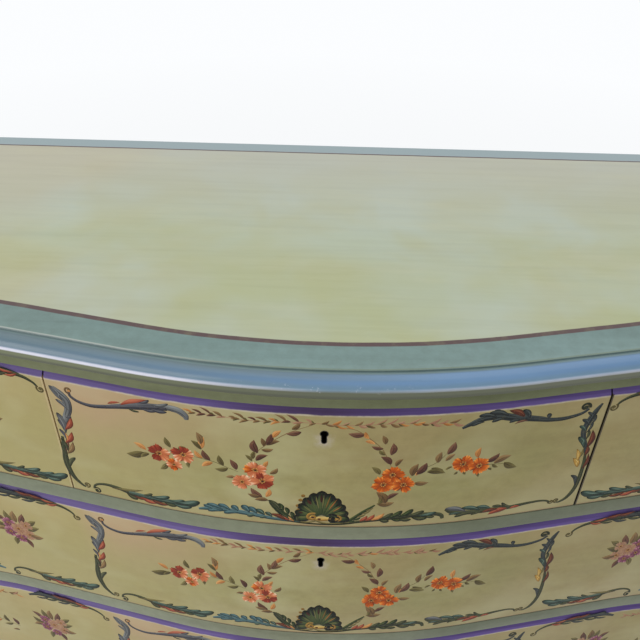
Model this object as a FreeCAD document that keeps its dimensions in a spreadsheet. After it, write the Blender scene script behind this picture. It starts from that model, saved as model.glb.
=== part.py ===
import FreeCAD, Part
import math
import os
import Sketcher
from FreeCAD import Placement, Rotation, Vector

# A painted serpentine dresser: three short drawers over two long ones. Millimetres, +Z up.
# The origin is the centre of the footprint on the floor. +X runs to the right of someone
# who faces the drawers, and the drawers open towards -Y.

doc = FreeCAD.newDocument("SerpentineDresser")
sheet = doc.addObject("Spreadsheet::Sheet", "Sizes")

# Driving dimensions. An inset is measured square to the front, inwards from the nose of
# the top, whose plan is a bow between two straights and two hollows.
DRIVING_SIZES = [
    # the whole
    ("width", 1830),
    ("depth", 540),
    ("floor_height", 150.5),
    # plan of the front
    ("bow_radius", 960),
    ("bow_angle", 12.4),
    ("flank_straight", 199),
    ("hollow_radius", 1024),
    ("corner_cant", 34),
    # top board and its moulded edge
    ("top_thickness", 28),
    ("bead_inset", 16.5),
    ("quirk_depth", 1.6),
    ("nose_radius", 12),
    ("under_bevel", 6),
    ("sawn_margin", 2),
    # rails and openings
    ("fascia_inset", 16),
    ("fascia_height", 21.5),
    ("fascia_width", 34),
    ("face_inset", 20),
    ("rail_width", 62),
    ("rail_height", 22.5),
    ("row_upper", 192),
    ("row_middle", 205),
    ("row_lower", 218),
    ("centre_drawer_width", 600),
    # posts, legs and panels
    ("side_inset", 20),
    ("post_width", 50),
    ("apron_height", 54.5),
    ("side_thickness", 18),
    ("side_recess", 4),
    ("side_arch_rise", 26),
    ("side_arch_radius", 380),
    ("rear_post_depth", 46),
    ("back_inset", 6),
    ("back_thickness", 6),
    ("bottom_thickness", 16),
    ("apron_thickness", 22),
    ("apron_arch_rise", 30),
    ("apron_arch_radius", 1150),
    ("apron_drop_width", 150),
    ("partition_thickness", 18),
    # inside woodwork
    ("cross_rail_width", 22),
    ("dust_thickness", 6),
    ("runner_width", 60),
    ("middle_runner_width", 90),
    ("kicker_width", 45),
    ("guide_height", 20),
    ("block_size", 40),
    ("block_height", 28),
    ("stop_length", 40),
    ("stop_depth", 16),
    ("stop_height", 6),
    # drawers
    ("drawer_gap", 1),
    ("drawer_play", 1.5),
    ("running_gap", 0.3),
    ("front_thickness", 22),
    ("bevel", 12.5),
    ("drawer_side_thickness", 12),
    ("drawer_back_thickness", 12),
    ("drawer_bottom_thickness", 6),
    ("drawer_bottom_rise", 12),
    ("groove_depth", 5),
    ("side_headroom", 4),
    ("rear_space", 15),
    # locks
    ("key_drop", 40),
    ("key_head_radius", 3.85),
    ("key_slot_width", 4.6),
    ("key_length", 17.6),
    ("key_pin_radius", 1.1),
    ("key_pin_length", 5),
    ("key_chamber_width", 16),
    ("key_chamber_height", 26),
    ("lock_width", 70),
    ("lock_height", 62),
    ("lock_thickness", 10),
    ("lock_back_plate", 2),
    ("bolt_width", 32),
    ("bolt_height", 34),
    ("bolt_thickness", 4),
    ("bolt_travel", 8),
    ("bolt_clearance", 0.3),
    ("mortise_clearance", 1.2),
    # cutting allowance past a face
    ("overrun", 8),
]
for row, (alias, value) in enumerate(DRIVING_SIZES, start=1):
    sheet.set(f"A{row}", alias)
    sheet.set(f"B{row}", str(value))
    sheet.setAlias(f"B{row}", alias)
doc.recompute()


class Measure:
    """A size: its present value, and the sheet expression that drives it."""

    def __init__(self, value, text):
        self.value = value
        self.text = text

    def __add__(self, other):
        other = measure(other)
        return Measure(self.value + other.value, f"({self.text} + {other.text})")

    def __sub__(self, other):
        other = measure(other)
        return Measure(self.value - other.value, f"({self.text} - {other.text})")

    def __mul__(self, other):
        other = measure(other)
        return Measure(self.value * other.value, f"({self.text} * {other.text})")

    def __truediv__(self, other):
        other = measure(other)
        return Measure(self.value / other.value, f"({self.text} / {other.text})")

    def __neg__(self):
        return Measure(-self.value, f"(-1 * {self.text})")


def measure(thing):
    """A plain number as a Measure; a Measure as it is."""
    return thing if isinstance(thing, Measure) else Measure(thing, repr(thing))


def sine(angle):
    return Measure(math.sin(math.radians(angle.value)), f"sin({angle.text} * 1 deg)")


def cosine(angle):
    return Measure(math.cos(math.radians(angle.value)), f"cos({angle.text} * 1 deg)")


def root(area):
    return Measure(math.sqrt(area.value), f"sqrt({area.text})")


class SheetSizes:
    """The sheet's cells, each as an attribute that is a Measure."""

    def __init__(self):
        for alias, _ in DRIVING_SIZES:
            setattr(self, alias, Measure(float(sheet.get(alias)), f"Sizes.{alias}"))


size = SheetSizes()
ZERO = measure(0)
TOLERANCE = 0.001

# Plan of the front: the bow's centre is on the centre line behind the nose, and each
# hollow's centre is out in front of its flank.
nose_y = -size.depth / 2
bow_centre_y = nose_y + size.bow_radius
hollow_centre_x = (
    (size.bow_radius + size.hollow_radius) * sine(size.bow_angle)
    + size.flank_straight * cosine(size.bow_angle)
)
hollow_centre_y = (
    bow_centre_y
    - (size.bow_radius + size.hollow_radius) * cosine(size.bow_angle)
    + size.flank_straight * sine(size.bow_angle)
)

# Places across the dresser.
side_x = size.width / 2 - size.side_inset
post_x = side_x - size.post_width
side_panel_x = side_x - size.side_recess
inner_x = side_panel_x - size.side_thickness
split_x = size.centre_drawer_width / 2

# Places from front to back.
front_back_inset = size.face_inset + size.front_thickness
rail_back_inset = size.face_inset + size.rail_width
rear_y = size.depth / 2 - size.back_inset
back_panel_y = rear_y - size.back_thickness
cross_rail_y = back_panel_y - size.cross_rail_width
rear_post_y = rear_y - size.rear_post_depth
drawer_rear_y = back_panel_y - size.rear_space

# Levels, from the bottom drawer's floor up to the top, and down to the knees.
case_floor = size.floor_height
lower_opening_top = case_floor + size.row_lower
lower_rail_top = lower_opening_top + size.rail_height
middle_opening_top = lower_rail_top + size.row_middle
upper_rail_top = middle_opening_top + size.rail_height
fascia_level = upper_rail_top + size.row_upper
top_level = fascia_level + size.fascia_height
bottom_level = case_floor - size.bottom_thickness
knee_level = case_floor - size.apron_height


def bow_end_x(inset):
    """Where the bow passes into the straight."""
    return (size.bow_radius - inset) * sine(size.bow_angle)


def hollow_start_x(inset):
    """Where the straight passes into the hollow."""
    return hollow_centre_x - (size.hollow_radius + inset) * sine(size.bow_angle)


def front_y(inset, x):
    """Depth of the serpentine line at a place x, for one inset."""
    bow = size.bow_radius - inset
    hollow = size.hollow_radius + inset
    reach = x if x.value >= 0 else -x
    if reach.value <= bow_end_x(inset).value:
        return bow_centre_y - root(bow * bow - reach * reach)
    if reach.value <= hollow_start_x(inset).value:
        run = (reach - bow_end_x(inset)) / cosine(size.bow_angle)
        return bow_centre_y - bow * cosine(size.bow_angle) + run * sine(size.bow_angle)
    offset = reach - hollow_centre_x
    return hollow_centre_y + root(hollow * hollow - offset * offset)


def point(x, y):
    return Vector(x.value, y.value, 0)


def bind(thing, path, amount):
    """Ties a property to the sheet."""
    thing.setExpression(path, measure(amount).text)


def place(thing, x, y, z):
    """Puts a finished piece in its place, in numbers read from the sheet."""
    thing.Placement = Placement(
        Vector(measure(x).value, measure(y).value, measure(z).value), Rotation()
    )


def new_body(name):
    body = doc.addObject("PartDesign::Body", name)
    body.Label = name
    return body


def new_sketch(body, name, role="XY_Plane", lift=None):
    """A sketch on one of the body's own origin planes, lifted along the plane's normal."""
    sketch = body.newObject("Sketcher::SketchObject", name)
    plane = [item for item in body.Origin.OriginFeatures if item.Role == role][0]
    sketch.AttachmentSupport = [(plane, "")]
    sketch.MapMode = "FlatFace"
    if lift is not None:
        bind(sketch, "AttachmentOffset.Base.z", lift)
    return sketch


def hold(sketch, kind, *terms):
    """Adds a constraint whose last term is a Measure, and ties it to the sheet."""
    *places, amount = terms
    number = sketch.addConstraint(Sketcher.Constraint(kind, *places, amount.value))
    bind(sketch, f"Constraints[{number}]", amount)


def hold_x(sketch, end, x):
    hold(sketch, "DistanceX", -1, 1, *end, x)


def hold_y(sketch, end, y):
    hold(sketch, "DistanceY", -1, 1, *end, y)


def join(sketch, kind, first, second):
    sketch.addConstraint(Sketcher.Constraint(kind, *first, *second))


def add_line(sketch, start, end):
    return sketch.addGeometry(Part.LineSegment(start, end), False)


def add_arc(sketch, centre_x, centre_y, radius, start_angle, end_angle):
    """An arc, anticlockwise, held by its centre and radius."""
    circle = Part.Circle(point(centre_x, centre_y), Vector(0, 0, 1), radius.value)
    arc = sketch.addGeometry(Part.ArcOfCircle(circle, start_angle, end_angle), False)
    hold_x(sketch, (arc, 3), centre_x)
    hold_y(sketch, (arc, 3), centre_y)
    hold(sketch, "Radius", arc, radius)
    return arc


def angle_at(centre_x, centre_y, x, y):
    return math.atan2(y.value - centre_y.value, x.value - centre_x.value)


def add_front_line(sketch, inset, x_low, x_high):
    """Draws the serpentine line between two places and returns its two ends."""
    bow_end = bow_end_x(inset)
    hollow_start = hollow_start_x(inset)
    stretches = [
        ("left hollow", None, -hollow_start),
        ("straight", -hollow_start, -bow_end),
        ("bow", -bow_end, bow_end),
        ("straight", bow_end, hollow_start),
        ("right hollow", hollow_start, None),
    ]
    ends = []
    for kind, low, high in stretches:
        low = x_low if low is None or low.value < x_low.value else low
        high = x_high if high is None or high.value > x_high.value else high
        if low.value >= high.value:
            continue
        low_y = front_y(inset, low)
        high_y = front_y(inset, high)
        if kind == "straight":
            item = add_line(sketch, point(low, low_y), point(high, high_y))
            low_end, high_end = (item, 1), (item, 2)
        elif kind == "bow":
            item = add_arc(
                sketch, ZERO, bow_centre_y, size.bow_radius - inset,
                angle_at(ZERO, bow_centre_y, low, low_y),
                angle_at(ZERO, bow_centre_y, high, high_y),
            )
            low_end, high_end = (item, 1), (item, 2)
        else:
            centre_x = hollow_centre_x if kind == "right hollow" else -hollow_centre_x
            item = add_arc(
                sketch, centre_x, hollow_centre_y, size.hollow_radius + inset,
                angle_at(centre_x, hollow_centre_y, high, high_y),
                angle_at(centre_x, hollow_centre_y, low, low_y),
            )
            low_end, high_end = (item, 2), (item, 1)
        if ends:
            join(sketch, "Tangent", ends[-1], low_end)
        else:
            hold_x(sketch, low_end, x_low)
            if kind == "straight":
                hold_y(sketch, low_end, low_y)
        ends += [low_end, high_end]
        last_kind = kind
    hold_x(sketch, ends[-1], x_high)
    if last_kind == "straight":
        hold_y(sketch, ends[-1], front_y(inset, x_high))
    return ends[0], ends[-1]


def end_point(sketch, end):
    return sketch.getPoint(*end)


def add_plan(sketch, front_inset, x_low, x_high, back_inset=None, back_y=None):
    """A closed plan: serpentine in front, and behind either parallel to it or straight."""
    front_low, front_high = add_front_line(sketch, front_inset, x_low, x_high)
    if back_inset is not None:
        back_low, back_high = add_front_line(sketch, back_inset, x_low, x_high)
    else:
        back = add_line(sketch, point(x_low, back_y), point(x_high, back_y))
        back_low, back_high = (back, 1), (back, 2)
        hold_y(sketch, back_low, back_y)
        sketch.addConstraint(Sketcher.Constraint("Horizontal", back))
    for front_end, back_end in ((front_low, back_low), (front_high, back_high)):
        edge = add_line(
            sketch, end_point(sketch, front_end), end_point(sketch, back_end)
        )
        join(sketch, "Coincident", front_end, (edge, 1))
        join(sketch, "Coincident", back_end, (edge, 2))
        if back_inset is None:
            sketch.addConstraint(Sketcher.Constraint("Vertical", edge))


def add_circle(sketch, centre_x, centre_y, radius):
    """A full circle, held by its centre and radius."""
    circle = Part.Circle(point(centre_x, centre_y), Vector(0, 0, 1), radius.value)
    item = sketch.addGeometry(circle, False)
    hold_x(sketch, (item, 3), centre_x)
    hold_y(sketch, (item, 3), centre_y)
    hold(sketch, "Radius", item, radius)


def add_box_plan(sketch, x_low, x_high, y_low, y_high):
    """A closed rectangle."""
    corners = [
        point(x_low, y_low), point(x_high, y_low),
        point(x_high, y_high), point(x_low, y_high),
    ]
    lines = [
        add_line(sketch, corners[index], corners[(index + 1) % len(corners)])
        for index in range(len(corners))
    ]
    for index, line in enumerate(lines):
        join(sketch, "Coincident", (line, 2), (lines[(index + 1) % len(lines)], 1))
        direction = "Vertical" if index % 2 else "Horizontal"
        sketch.addConstraint(Sketcher.Constraint(direction, line))
    hold_x(sketch, (lines[0], 1), x_low)
    hold_x(sketch, (lines[0], 2), x_high)
    hold_y(sketch, (lines[0], 1), y_low)
    hold_y(sketch, (lines[2], 1), y_high)


def pad(body, sketch, length):
    feature = body.newObject("PartDesign::Pad", f"{sketch.Name}_pad")
    feature.Profile = sketch
    bind(feature, "Length", length)
    return feature


def pocket(body, sketch, length=None, rising=False):
    """A pocket of a stated depth below its sketch, or above it, or right through."""
    before = body.Shape.Volume
    feature = body.newObject("PartDesign::Pocket", f"{sketch.Name}_pocket")
    feature.Profile = sketch
    feature.Reversed = rising
    if length is None:
        feature.Type = "ThroughAll"
        feature.Midplane = True
    else:
        bind(feature, "Length", length)
    doc.recompute()
    if not body.Shape.Volume < before:
        raise RuntimeError(f"{feature.Name} removes nothing")
    return feature


def chamfer(body, name, edges, amount):
    """Bevels some edges of the body as it stands."""
    base = body.Tip
    feature = body.newObject("PartDesign::Chamfer", name)
    feature.Base = (base, edges)
    bind(feature, "Size", amount)
    doc.recompute()


def board(name, front_inset, x_low, x_high, level, thickness, back_inset=None, back_y=None):
    """A board that lies in plan between the serpentine line and its back edge."""
    body = new_body(name)
    sketch = new_sketch(body, f"{name}_plan")
    add_plan(sketch, front_inset, x_low, x_high, back_inset, back_y)
    pad(body, sketch, thickness)
    place(body, 0, 0, level)
    doc.recompute()
    return body


def box(name, x_low, x_high, y_low, y_high, level, height):
    """A plain rectangular piece."""
    piece = doc.addObject("Part::Box", name)
    piece.Label = name
    bind(piece, "Length", x_high - x_low)
    bind(piece, "Width", y_high - y_low)
    bind(piece, "Height", height)
    place(piece, x_low, y_low, level)
    return piece


def group(name, members):
    """Like pieces that share one name, each a solid of its own."""
    compound = doc.addObject("Part::Compound", name)
    compound.Label = name
    compound.Links = members
    doc.recompute()
    return compound


def add_edge_profile(sketch, nose):
    """What the moulding plane takes off an edge, in section, with the nose at one place."""
    upper = size.top_thickness - size.quirk_depth
    nose_level = upper - size.nose_radius
    over = size.top_thickness + size.overrun
    outside = nose - size.corner_cant - size.overrun
    under_x = nose + size.under_bevel
    nose_arc = add_arc(
        sketch, nose + size.nose_radius, nose_level, size.nose_radius, math.pi / 2, math.pi
    )
    stops = [
        point(nose + size.nose_radius, upper), point(nose + size.bead_inset, upper),
        point(nose + size.bead_inset, over), point(outside, over),
        point(outside, -size.overrun), point(under_x, -size.overrun), point(under_x, ZERO),
        point(nose, size.under_bevel), point(nose, nose_level),
    ]
    lines = [add_line(sketch, *pair) for pair in zip(stops, stops[1:])]
    ledge, bead_side, above, beyond, below, under_side, under_bevel, flat = lines
    join(sketch, "Coincident", (nose_arc, 1), (ledge, 1))
    for first, second in zip(lines, lines[1:]):
        join(sketch, "Coincident", (first, 2), (second, 1))
    join(sketch, "Tangent", (flat, 2), (nose_arc, 2))
    for level_line in (ledge, above, below):
        sketch.addConstraint(Sketcher.Constraint("Horizontal", level_line))
    for upright in (bead_side, beyond, under_side):
        sketch.addConstraint(Sketcher.Constraint("Vertical", upright))
    hold_x(sketch, (nose_arc, 1), nose + size.nose_radius)
    hold_x(sketch, (bead_side, 1), nose + size.bead_inset)
    hold_y(sketch, (above, 1), over)
    hold_x(sketch, (beyond, 1), outside)
    hold_y(sketch, (beyond, 2), -size.overrun)
    hold_x(sketch, (under_side, 1), under_x)
    hold_y(sketch, (under_side, 2), ZERO)
    hold_x(sketch, (flat, 1), nose)
    hold_y(sketch, (flat, 1), size.under_bevel)


def mirror(body, feature):
    """Repeats a feature on the other side of the centre line."""
    copy = body.newObject("PartDesign::Mirrored", f"{feature.Name}_mirrored")
    plane = [item for item in body.Origin.OriginFeatures if item.Role == "YZ_Plane"][0]
    copy.Originals = [feature]
    copy.MirrorPlane = (plane, [""])
    body.Tip = copy
    doc.recompute()


def make_top():
    """The top board, sawn with a margin, then moulded along its front, cants and sides."""
    half = size.width / 2
    top = board(
        "top", -size.sawn_margin, -half, half, top_level, size.top_thickness,
        back_y=size.depth / 2,
    )
    path = new_sketch(top, "top_front_path")
    add_front_line(path, ZERO, ZERO, half + size.overrun)
    profile = new_sketch(top, "top_front_profile", "YZ_Plane")
    add_edge_profile(profile, nose_y)
    sweep = top.newObject("PartDesign::SubtractivePipe", "top_front_edge")
    sweep.Profile = profile
    sweep.Spine = (path, [])
    doc.recompute()
    mirror(top, sweep)
    cant_x = half - size.corner_cant
    cant_nose = (cant_x - front_y(ZERO, cant_x)) / math.sqrt(2)
    for name, nose, turn in (("cant", -cant_nose, 135), ("side", -half, 180)):
        section = new_sketch(top, f"top_{name}_profile", "XZ_Plane")
        add_edge_profile(section, nose)
        section.AttachmentOffset = Placement(Vector(), Rotation(Vector(0, 1, 0), turn))
        mirror(top, pocket(top, section))


class Drawer:
    """Where one drawer lies: its front's ends, its box's sides, and its opening."""

    def __init__(self, name, x_low, x_high, box_low, box_high, floor, opening_height):
        self.name = name
        self.x_low = x_low + size.drawer_gap
        self.x_high = x_high - size.drawer_gap
        self.box_low = box_low + size.drawer_play
        self.box_high = box_high - size.drawer_play
        self.floor = floor
        self.opening_height = opening_height
        self.lock_x = (x_low + x_high) / 2


half_partition = size.partition_thickness / 2
SHORT_DRAWERS = [
    Drawer(
        "left_drawer", -post_x, -split_x, -post_x, -split_x - half_partition,
        upper_rail_top, size.row_upper,
    ),
    Drawer(
        "centre_drawer", -split_x, split_x, -split_x + half_partition,
        split_x - half_partition, upper_rail_top, size.row_upper,
    ),
    Drawer(
        "right_drawer", split_x, post_x, split_x + half_partition, post_x,
        upper_rail_top, size.row_upper,
    ),
]
MIDDLE_DRAWER = Drawer(
    "middle_drawer", -post_x, post_x, -post_x, post_x, lower_rail_top, size.row_middle,
)
BOTTOM_DRAWER = Drawer(
    "bottom_drawer", -post_x, post_x, -post_x, post_x, case_floor, size.row_lower,
)
DRAWERS = SHORT_DRAWERS + [MIDDLE_DRAWER, BOTTOM_DRAWER]


def bolt_y(drawer):
    """Middle of the lock's bolt, in the land behind the bevel."""
    return front_y(front_back_inset, drawer.lock_x) - size.lock_thickness / 2


def cut_mortise(body, drawer, depth):
    """A socket for a drawer's bolt in the underside of the rail above it."""
    sketch = new_sketch(body, f"{drawer.name}_mortise")
    half_length = size.bolt_width / 2 + size.mortise_clearance
    half_width = size.bolt_thickness / 2 + size.mortise_clearance
    middle = bolt_y(drawer)
    add_box_plan(
        sketch, drawer.lock_x - half_length, drawer.lock_x + half_length,
        middle - half_width, middle + half_width,
    )
    pocket(body, sketch, depth, rising=True)


def make_rails():
    """Serpentine rails between the posts, with sockets for the lock bolts."""
    mortise_depth = size.bolt_travel + size.mortise_clearance
    fascia = board(
        "top_rail", size.fascia_inset, -post_x, post_x, fascia_level, size.fascia_height,
        back_inset=size.fascia_inset + size.fascia_width,
    )
    for drawer in SHORT_DRAWERS:
        cut_mortise(fascia, drawer, mortise_depth)
    levels = (
        ("upper_rail", middle_opening_top, MIDDLE_DRAWER),
        ("lower_rail", lower_opening_top, BOTTOM_DRAWER),
    )
    for name, level, drawer in levels:
        rail = board(
            name, size.face_inset, -post_x, post_x, level, size.rail_height,
            back_inset=rail_back_inset,
        )
        cut_mortise(rail, drawer, mortise_depth)
    board(
        "bottom_rail", size.face_inset + size.apron_thickness, -post_x, post_x,
        case_floor - size.rail_height, size.rail_height, back_inset=rail_back_inset,
    )


def arch_circle(sketch, centre_x, crown, radius):
    """A circle whose crown reaches a stated height above the sketch's origin."""
    add_circle(sketch, centre_x, crown - radius, radius)


def make_apron():
    """The apron under the bottom drawer: two long arches that leave a drop between."""
    apron = board(
        "apron", size.face_inset, -post_x, post_x, knee_level,
        case_floor - knee_level, back_inset=size.face_inset + size.apron_thickness,
    )
    radius = size.apron_arch_radius
    rise = size.apron_arch_rise
    half_span = root(radius * radius - (radius - rise) * (radius - rise))
    for side, name in ((-1, "left"), (1, "right")):
        sketch = new_sketch(apron, f"apron_arch_{name}", "XZ_Plane")
        centre_x = (size.apron_drop_width / 2 + half_span) * side
        arch_circle(sketch, centre_x, rise, radius)
        pocket(apron, sketch)


def make_front_leg(side, name):
    """A canted corner post that runs down into a cabriole leg."""
    x_low, x_high = (post_x, side_x) if side > 0 else (-side_x, -post_x)
    post = new_body(f"{name}_post")
    sketch = new_sketch(post, f"{name}_post_plan")
    add_plan(sketch, size.face_inset, x_low, x_high, back_y=post_back_y)
    pad(post, sketch, top_level - knee_level)
    place(post, 0, 0, knee_level)
    doc.recompute()
    corner_x = side_x.value * side
    corner_y = front_y(size.face_inset, side_x).value
    corner_edges = [
        f"Edge{number}"
        for number, edge in enumerate(post.Shape.Edges, start=1)
        if all(
            abs(vertex.X - corner_x) < TOLERANCE and abs(vertex.Y - corner_y) < TOLERANCE
            for vertex in edge.Vertexes
        )
    ]
    chamfer(post, f"{name}_cant", corner_edges, size.corner_cant)
    axis_x = (post_x + side_x) / 2
    axis_y = (front_y(size.face_inset, axis_x) + post_back_y) / 2
    foot = make_cabriole(
        f"{name}_cabriole", axis_x * side, axis_y, Vector(side, -1, 0),
        size.post_width / 2, FRONT_LEG_SHARES,
    )
    fuse(name, post, foot)


def fuse(name, first, second):
    piece = doc.addObject("Part::Fuse", name)
    piece.Label = name
    piece.Base = first
    piece.Tool = second
    piece.Refine = True
    doc.recompute()
    return piece


# Sections of a cabriole leg from the knee to the floor, as shares: height of the knee,
# and, of half the post's width, the outward shift and the radii along and across it.
FRONT_LEG_SHARES = [
    (1.00, 0.04, 1.10, 1.04),
    (0.86, 0.32, 1.28, 1.14),
    (0.68, 0.36, 1.20, 1.06),
    (0.48, 0.14, 0.90, 0.84),
    (0.28, 0.00, 0.66, 0.62),
    (0.12, 0.30, 0.74, 0.62),
    (0.00, 0.56, 0.78, 0.60),
]
REAR_LEG_SHARES = [
    (1.00, 0.00, 0.92, 0.92),
    (0.70, 0.00, 0.86, 0.86),
    (0.35, 0.04, 0.66, 0.66),
    (0.12, 0.14, 0.62, 0.62),
    (0.00, 0.18, 0.66, 0.66),
]
RINGS_PER_SECTION = 2
post_back_y = front_y(rail_back_inset, inner_x)


def smooth_rows(rows):
    """The rows with more between them, on a curve that passes through each."""
    result = []
    for index in range(len(rows) - 1):
        before = rows[max(index - 1, 0)]
        start, end = rows[index], rows[index + 1]
        after = rows[min(index + 2, len(rows) - 1)]
        for step in range(RINGS_PER_SECTION):
            share = step / RINGS_PER_SECTION
            result.append([
                q + share * (r - p + share * (2 * p - 5 * q + 4 * r - s
                + share * (3 * (q - r) + s - p))) / 2
                for p, q, r, s in zip(before, start, end, after)
            ])
    result.append(rows[-1])
    return result


def make_cabriole(name, axis_x, axis_y, outward, unit, shares):
    """A bent leg: a loft through level ellipses that lean out, in and out again."""
    direction = Vector(outward)
    direction.normalize()
    turn = math.degrees(math.atan2(direction.y, direction.x))
    rings = []
    for height_share, out_share, long_share, cross_share in smooth_rows(shares):
        ring = doc.addObject("Part::Ellipse", f"{name}_ring_{len(rings)}")
        bind(ring, "MajorRadius", unit * long_share)
        bind(ring, "MinorRadius", unit * cross_share)
        ring.Placement = Placement(
            point(axis_x, axis_y)
            + direction * (unit.value * out_share)
            + Vector(0, 0, knee_level.value * height_share),
            Rotation(Vector(0, 0, 1), turn),
        )
        rings.append(ring)
    leg = doc.addObject("Part::Loft", name)
    leg.Sections = rings
    leg.Solid = True
    leg.Ruled = True
    doc.recompute()
    return leg


def make_rear_leg(side, name):
    """A stile that stands on a shorter bent leg at the back corner."""
    x_low, x_high = (inner_x, side_x) if side > 0 else (-side_x, -inner_x)
    stile = box(
        f"{name}_stile", x_low, x_high, rear_post_y, rear_y, bottom_level,
        top_level - bottom_level,
    )
    foot_low, foot_high = (
        (side_x - size.rear_post_depth, side_x) if side > 0
        else (-side_x, size.rear_post_depth - side_x)
    )
    head = box(
        f"{name}_head", foot_low, foot_high, rear_post_y, rear_y, knee_level,
        bottom_level - knee_level,
    )
    foot = make_cabriole(
        f"{name}_cabriole", (foot_low + foot_high) / 2, (rear_post_y + rear_y) / 2,
        Vector(side, 0, 0), size.rear_post_depth / 2, REAR_LEG_SHARES,
    )
    fuse(name, fuse(f"{name}_upper", stile, head), foot)


def make_side_panel(side, name):
    """A flat side between the posts, arched along its lower edge."""
    x_low, x_high = (inner_x, side_panel_x) if side > 0 else (-side_panel_x, -inner_x)
    body = new_body(name)
    sketch = new_sketch(body, f"{name}_plan")
    add_box_plan(sketch, x_low, x_high, post_back_y, rear_post_y)
    pad(body, sketch, top_level - knee_level)
    place(body, 0, 0, knee_level)
    doc.recompute()
    arch = new_sketch(body, f"{name}_arch", "YZ_Plane")
    arch_circle(
        arch, (post_back_y + rear_post_y) / 2, size.side_arch_rise, size.side_arch_radius
    )
    pocket(body, arch)


def make_case_boards():
    """Boards that lie behind the rails, and the uprights between the short drawers."""
    board(
        "case_bottom", rail_back_inset, -inner_x, inner_x, bottom_level,
        size.bottom_thickness, back_y=back_panel_y,
    )
    box(
        "back_panel", -inner_x, inner_x, back_panel_y, rear_y, bottom_level,
        top_level - bottom_level,
    )
    box(
        "top_back_rail", -inner_x, inner_x, cross_rail_y, back_panel_y, fascia_level,
        size.fascia_height,
    )
    group("rear_cross_rails", [
        box(
            f"rear_cross_rail_{name}", -inner_x, inner_x, cross_rail_y, back_panel_y,
            level, size.rail_height,
        )
        for name, level in (("upper", middle_opening_top), ("lower", lower_opening_top))
    ])
    for name, middle in (("partition_left", -split_x), ("partition_right", split_x)):
        board(
            name, front_back_inset + size.drawer_gap, middle - half_partition,
            middle + half_partition, upper_rail_top, size.row_upper, back_y=back_panel_y,
        )


def strip_plan(side, inner, outer):
    return (inner, outer) if side > 0 else (-outer, -inner)


def make_runners():
    """Runners under the drawer sides, and thin dust panels between them."""
    half_middle = size.middle_runner_width / 2
    outer_runner_x = inner_x - size.runner_width
    runners = []
    for side, name in ((-1, "left"), (1, "right")):
        for row, level in (("upper", middle_opening_top), ("lower", lower_opening_top)):
            low, high = strip_plan(side, outer_runner_x, inner_x)
            runners.append(board(
                f"{row}_runner_{name}", rail_back_inset, low, high, level,
                size.rail_height, back_y=cross_rail_y,
            ))
        low, high = strip_plan(side, split_x - half_middle, split_x + half_middle)
        runners.append(board(
            f"middle_runner_{name}", rail_back_inset, low, high, middle_opening_top,
            size.rail_height, back_y=cross_rail_y,
        ))
    group("drawer_runners", runners)
    panel_lift = (size.rail_height - size.dust_thickness) / 2
    bays = (
        ("left", -outer_runner_x, -split_x - half_middle),
        ("centre", -split_x + half_middle, split_x - half_middle),
        ("right", split_x + half_middle, outer_runner_x),
    )
    group("upper_dust_panels", [
        board(
            f"dust_panel_{name}", rail_back_inset, low, high,
            middle_opening_top + panel_lift, size.dust_thickness, back_y=cross_rail_y,
        )
        for name, low, high in bays
    ])
    board(
        "lower_dust_panel", rail_back_inset, -outer_runner_x, outer_runner_x,
        lower_opening_top + panel_lift, size.dust_thickness, back_y=cross_rail_y,
    )


# Each drawer has two stops, at these shares of its width.
STOP_SHARES = (0.2, 0.8)


def make_strips():
    """Kickers over the short drawers, guides beside the drawers, stops and blocks."""
    half_kicker = size.kicker_width / 2
    fascia_back = size.fascia_inset + size.fascia_width
    kickers = []
    guides = []
    for side, name in ((-1, "left"), (1, "right")):
        low, high = strip_plan(side, split_x - half_kicker, split_x + half_kicker)
        kickers.append(board(
            f"inner_kicker_{name}", fascia_back, low, high, fascia_level,
            size.fascia_height, back_y=cross_rail_y,
        ))
        low, high = strip_plan(side, inner_x - size.kicker_width, inner_x)
        kickers.append(box(
            f"outer_kicker_{name}", low, high, post_back_y, cross_rail_y, fascia_level,
            size.fascia_height,
        ))
        low, high = strip_plan(side, post_x, inner_x)
        for row, level in (
            ("upper", upper_rail_top), ("middle", lower_rail_top), ("lower", case_floor),
        ):
            guides.append(box(
                f"{row}_guide_{name}", low, high, post_back_y, rear_post_y, level,
                size.guide_height,
            ))
    group("drawer_kickers", kickers)
    group("drawer_guides", guides)
    stops = []
    for drawer in DRAWERS:
        width = drawer.box_high - drawer.box_low
        for number, share in enumerate(STOP_SHARES):
            middle = drawer.box_low + width * share
            stop_inset = front_back_inset + size.running_gap
            stops.append(board(
                f"{drawer.name}_stop_{number}", stop_inset, middle - size.stop_length / 2,
                middle + size.stop_length / 2, drawer.floor, size.stop_height,
                back_inset=stop_inset + size.stop_depth,
            ))
    group("drawer_stops", stops)
    blocks = []
    for side, name in ((-1, "left"), (1, "right")):
        low, high = strip_plan(side, inner_x - size.block_size, inner_x)
        rail_back_y = front_y(rail_back_inset, inner_x - size.block_size)
        for end, y_low in (
            ("front", rail_back_y), ("rear", rear_post_y - size.block_size),
        ):
            blocks.append(box(
                f"{end}_block_{name}", low, high, y_low, y_low + size.block_size,
                bottom_level - size.block_height, size.block_height,
            ))
    group("corner_blocks", blocks)


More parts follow.
